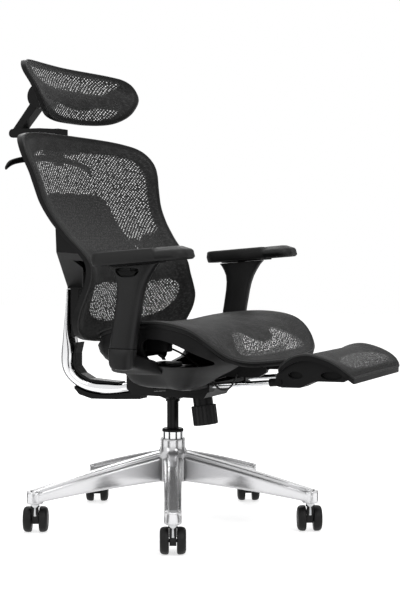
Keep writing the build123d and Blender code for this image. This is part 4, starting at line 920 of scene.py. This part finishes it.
ARM_MIDDLE = 282.0
POST_HALF = 14.6
CUP_HALF = 17.5
# Rows of up, rear and front, with the tilt's share for the post and the width's share for the cup.
POST_PARTS = [
    (442, -8, 54, 0), (480, -1.5, 60.5, 0), (520, 5.5, 67.5, 0), (552, 10.5, 73.5, 0), (572, 12, 78.5, 0),
    (590, 10, 85.5, 0.1), (604, 4.5, 94, 0.4), (616, -2, 103.5, 0.8), (624, -8, 113, 1)
]
CUP_PARTS = [
    (394.5, 6, 38, 0.62), (396, 0, 45, 0.86), (400, -5, 49, 0.97), (406, -8, 51, 1.0), (425, -10.5, 52, 1.0),
    (439, -9, 55, 1.0), (441, -8, 54, 0.95)
]
# Rows of left, rear, front, bottom and top.
GUSSET_PARTS = [
    (272, -6, 48, 398, 434), (262, -10, 54, 396, 428), (248, -22, 68, 391, 422), (236, -34, 84, 386, 416),
    (224, -40, 88, 380, 404), (210, -42, 84, 378, 396)
]
BUTTON_SLOT = [(10, 612), (14, 619), (68, 619), (72, 612), (64, 602), (52, 598.5), (28, 598.5), (18, 602)]
BUTTON_REACH = (2.5, 40)


def arm_support(side, name):
    """A post with the recess of its button, the socket that it slides in, and the gusset to the shell."""
    middle = side * ARM_MIDDLE
    sections = [bar_section(*row, POST_HALF, middle, tilt=tilt) for *row, tilt in POST_PARTS]
    post = lofted(f"post_{name}", sections, ARM_PLASTIC, f"arm_post_{name}")
    reach = sorted(side * (ARM_MIDDLE + depth) for depth in BUTTON_REACH)
    cut(post, [prism(even_loop(smooth_loop(BUTTON_SLOT), 40), *reach, "side")])
    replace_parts(post, f"arm_post_{name}")
    sections = [bar_section(*row, CUP_HALF * share, middle) for *row, share in CUP_PARTS]
    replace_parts(lofted(f"socket_{name}", sections, ARM_PLASTIC, "seat"), f"arm_bracket_{name}")
    across, deep = squared_circle(56, 4.0)
    sections = [np.stack([np.full(56, side * left), between(rear, front, across), between(low, high, deep)],
                         1) for left, rear, front, low, high in GUSSET_PARTS]
    lofted(f"gusset_{name}", sections, SHELL_PLASTIC, "seat")


for side, name in HANDS:
    arm_support(side, name)

# ------------ polished arm of the back

# Forward and up along the arm's two edges, from the pivot to the upright.
ARM_OUTER = [
    (-74, 318), (-130, 308), (-202, 303), (-243, 311), (-281, 332), (-302, 361), (-306, 385), (-301, 428),
    (-295, 472), (-289, 515), (-285, 559)
]
ARM_INNER = [
    (-60, 360), (-131, 332), (-168, 331), (-222, 334), (-251, 348), (-267, 368), (-268, 402), (-273, 436),
    (-278, 462), (-278, 515), (-278, 559)
]
ARM_HALF_WIDTH = 22.5
PIVOT = (-50.0, 345.0)
# The pivot boss: left, radius.
PIVOT_BOSS = [(-23.5, 16.5), (-22.3, 18.0), (22.3, 18.0), (23.5, 16.5)]


def curved_arm():
    """A bar with full, rounded sides that follows the arm's outer and inner lines, and its pivot boss."""
    stations, sides = 72, 40
    across, deep = squared_circle(sides, 3.0)
    middles = (drawn_line(ARM_OUTER, stations) + drawn_line(ARM_INNER, stations)) / 2
    halves = (drawn_line(ARM_OUTER, stations) - drawn_line(ARM_INNER, stations)) / 2
    rings = [np.column_stack([across * ARM_HALF_WIDTH, middle + np.outer(deep, half)])
             for middle, half in zip(middles, halves)]
    across, deep = squared_circle(sides, 2)
    rings += [np.stack([np.full(sides, left), PIVOT[0] + radius * across, PIVOT[1] + radius * deep], 1)
              for left, radius in PIVOT_BOSS]
    faces = ring_faces(stations, sides) + end_faces(stations, sides)
    boss = (len(PIVOT_BOSS), sides, stations * sides)
    faces += ring_faces(*boss) + end_faces(*boss)
    piece = mesh_piece("curved_arm", place(*np.concatenate(rings).T), faces, ARM_METAL, "back_arm")
    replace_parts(piece, "back_arm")


curved_arm()

# ------------ coat bar behind the back

# Left, forward, up and half height, from one end to the middle.
HANGER = [
    (-194, -342, 850, 4.6), (-188, -341, 856, 6.2), (-172, -340, 864, 7.0), (-140, -338, 871, 7.2),
    (-90, -336, 877, 7.4), (-40, -335, 881, 8.5), (0, -335, 882, 9.0)
]
HANGER_FLATTER = 0.72


def coat_bar():
    """A bar that tapers to both ends, deeper than it is thick."""
    rows = np.array(HANGER + [(-l, f, z, r) for l, f, z, r in HANGER[-2::-1]], float)
    forward, up, half = (Line(rows[:, [0, column]]) for column in (1, 2, 3))
    across, deep = squared_circle(28, 2.6)
    sections = [np.stack([np.full(28, at), forward(at) + across * HANGER_FLATTER * half(at),
                          up(at) + deep * half(at)], 1)
                for at in np.linspace(rows[0, 0], rows[-1, 0], 61)]
    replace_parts(lofted("coat_bar", sections, FRAME_PLASTIC, "back"), "coat_hanger")


coat_bar()

# ------------ casters

SPOKES = 5
SPOKE_TURN = -80.6
STEM_CIRCLE = 336.0
CASTER_TRAIL = 14.0
CASTER_AIM = math.radians(27.4)
WHEEL_R = 30.0
# Half a wheel's section: distance out from the middle of the caster, radius.
WHEEL_PROFILE = [
    (8.6, 5.0), (8.6, 24.5), (9.2, 27.5), (10.6, 29.3), (12.8, 29.9), (17.0, 30.0), (21.5, 29.5),
    (25.0, 28.0), (27.3, 25.5), (28.3, 22.6), (28.6, 21.2), (28.1, 20.6), (27.4, 20.4), (27.2, 19.4),
    (27.9, 15.0), (28.3, 9.0), (28.5, 4.5), (28.4, 0.01)
]
# The neck: height, radius.
NECK_PROFILE = [(40.0, 0.01), (40.0, 7.6), (41.0, 8.3), (60.0, 8.3), (61.0, 10.3), (69.3, 10.3)]

caster_way = np.array([math.cos(CASTER_AIM), math.sin(CASTER_AIM)])
for label in range(1, SPOKES + 1):
    turn = math.radians(SPOKE_TURN + (label - 1) * 360 / SPOKES)
    stem = np.array([STEM_CIRCLE * math.cos(turn) + COLUMN_X, STEM_CIRCLE * math.sin(turn) + COLUMN_Y, 0])
    trail, axle = CASTER_TRAIL * caster_way, (caster_way[1], -caster_way[0], 0)
    wheels = turned(f"wheel_pair_{label}", WHEEL_PROFILE, stem + (*trail, WHEEL_R), axle, CASTER_TREAD,
                    f"caster_wheels_{label}", mirrored=True)
    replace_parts(wheels, f"caster_wheels_{label}")
    turned(f"caster_neck_{label}", NECK_PROFILE, stem, (0, 0, 1), CHROME, f"caster_{label}",
           sides=32)

# ------------ control cable

CABLE_ROUTE = [
    (-58, 10, 430), (-76, 50, 424), (-100, 105, 402), (-117, 145, 378), (-121, 168, 354), (-121, 185, 341),
    (-117, 203, 344), (-112, 214, 362), (-106, 218, 378)
]

cable_data = bpy.data.curves.new("release_cable", "CURVE")
cable_data.dimensions = "3D"
cable_data.bevel_depth = 0.0022
cable_data.bevel_resolution = 4
cable_data.resolution_u = 12
cable_data.use_fill_caps = True
cable_data.materials.append(cable_look())
cable_line = cable_data.splines.new("NURBS")
cable_line.points.add(len(CABLE_ROUTE) - 1)
for point, spot in zip(cable_line.points, CABLE_ROUTE):
    point.co = (*place(*spot), 1)
cable_line.order_u = 3
cable_line.use_endpoint_u = True
cable = in_scene("release_cable", cable_data)
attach(cable, "seat")
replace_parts(cable, "control_cable")
tuple(place(*CABLE_ROUTE[0]))

# ------------ floor, light and camera

FLOOR_HALF = 9
BACKDROP_DIM = 0.55
LIGHTS_AIM = Vector((0, 0, 0.55))
CAMERA_AT = (-2.8627, -1.4405, 0.674)
CAMERA_HEADING = 26.24
CAMERA_DROP = 2.46
# Dark sheets: the angle from the camera's side of the set, and half the angle that each takes.
CARDS = [(-38, 10), (38, 10), (-108, 14), (108, 14), (-150, 8), (150, 8)]
CARD_NEAR, CARD_FAR = 0.42, 3.4
CARD_LOW, CARD_HIGH = 0.012, 2.4


def stage_plane(name, corners, material):
    """A sheet of the set, which isn't part of the object."""
    mesh = mesh_of(name, corners, [(0, 1, 2, 3)])
    mesh.materials.append(material)
    piece = in_scene(name, mesh)
    return piece


def softbox(name, spot, size, power):
    """A soft light that faces the middle of the chair."""
    lamp = bpy.data.lights.new(name, "AREA")
    lamp.shape = "RECTANGLE"
    lamp.size, lamp.size_y = size
    lamp.energy = power
    box = in_scene(name, lamp)
    box.location = spot
    box.rotation_euler = (LIGHTS_AIM - Vector(spot)).to_track_quat("-Z", "Y").to_euler()


def dark_cards():
    """Dark sheets on the floor and beside the set, seen only in polished metal."""
    material = moulded("dark_card", 0.02, 0.9, 200)
    for index, (angle, half) in enumerate(CARDS):
        middle = CAMERA_HEADING + 180 + angle
        near, far = [np.array([math.cos(turn), math.sin(turn)])
                     for turn in (math.radians(middle - half), math.radians(middle + half))]
        on_floor = [(CARD_NEAR, CARD_LOW, near), (CARD_FAR, CARD_LOW, near), (CARD_FAR, CARD_LOW, far),
                    (CARD_NEAR, CARD_LOW, far)]
        on_wall = [(CARD_FAR, CARD_LOW, near), (CARD_FAR, CARD_HIGH, near), (CARD_FAR, CARD_HIGH, far),
                   (CARD_FAR, CARD_LOW, far)]
        for label, corners in (("floor", on_floor), ("wall", on_wall)):
            card = stage_plane(f"dark_{label}_{index}", [(*(r * way), z) for r, z, way in corners], material)
            card.visible_camera = False
            card.visible_diffuse = False
            card.visible_shadow = False
            card.visible_transmission = False


stage_plane("floor", [(-FLOOR_HALF, -FLOOR_HALF, 0), (FLOOR_HALF, -FLOOR_HALF, 0),
                      (FLOOR_HALF, FLOOR_HALF, 0), (-FLOOR_HALF, FLOOR_HALF, 0)], floor_look())

world = bpy.data.worlds.new("studio")
bpy.context.scene.world = world
world.use_nodes = True
sky = Nodes(world.node_tree)
backdrop = sky.tree.nodes["Background"]
backdrop.inputs["Color"].default_value = (1, 1, 1, 1)
sky.put(backdrop.inputs["Strength"], sky.span(sky.looked_at(), 0.0, 1.0, BACKDROP_DIM, 1.0))

softbox("key", (-1.4, -2.6, 2.4), (1.6, 1.6), 40)
softbox("side", (-2.9, 0.9, 1.5), (1.2, 1.8), 16)
softbox("top", (0.2, 0.2, 3.2), (2.2, 2.2), 40)
softbox("rear", (2.4, 1.6, 1.8), (1.4, 1.6), 18)

camera_data = bpy.data.cameras.new("camera")
camera_data.lens = 80.4
camera_data.sensor_width = 36
camera = in_scene("camera", camera_data)
camera.location = CAMERA_AT
camera.rotation_euler = (math.radians(90 - CAMERA_DROP), 0, math.radians(CAMERA_HEADING - 90))
bpy.context.scene.camera = camera
bpy.context.scene.view_settings.view_transform = "Standard"

dark_cards()
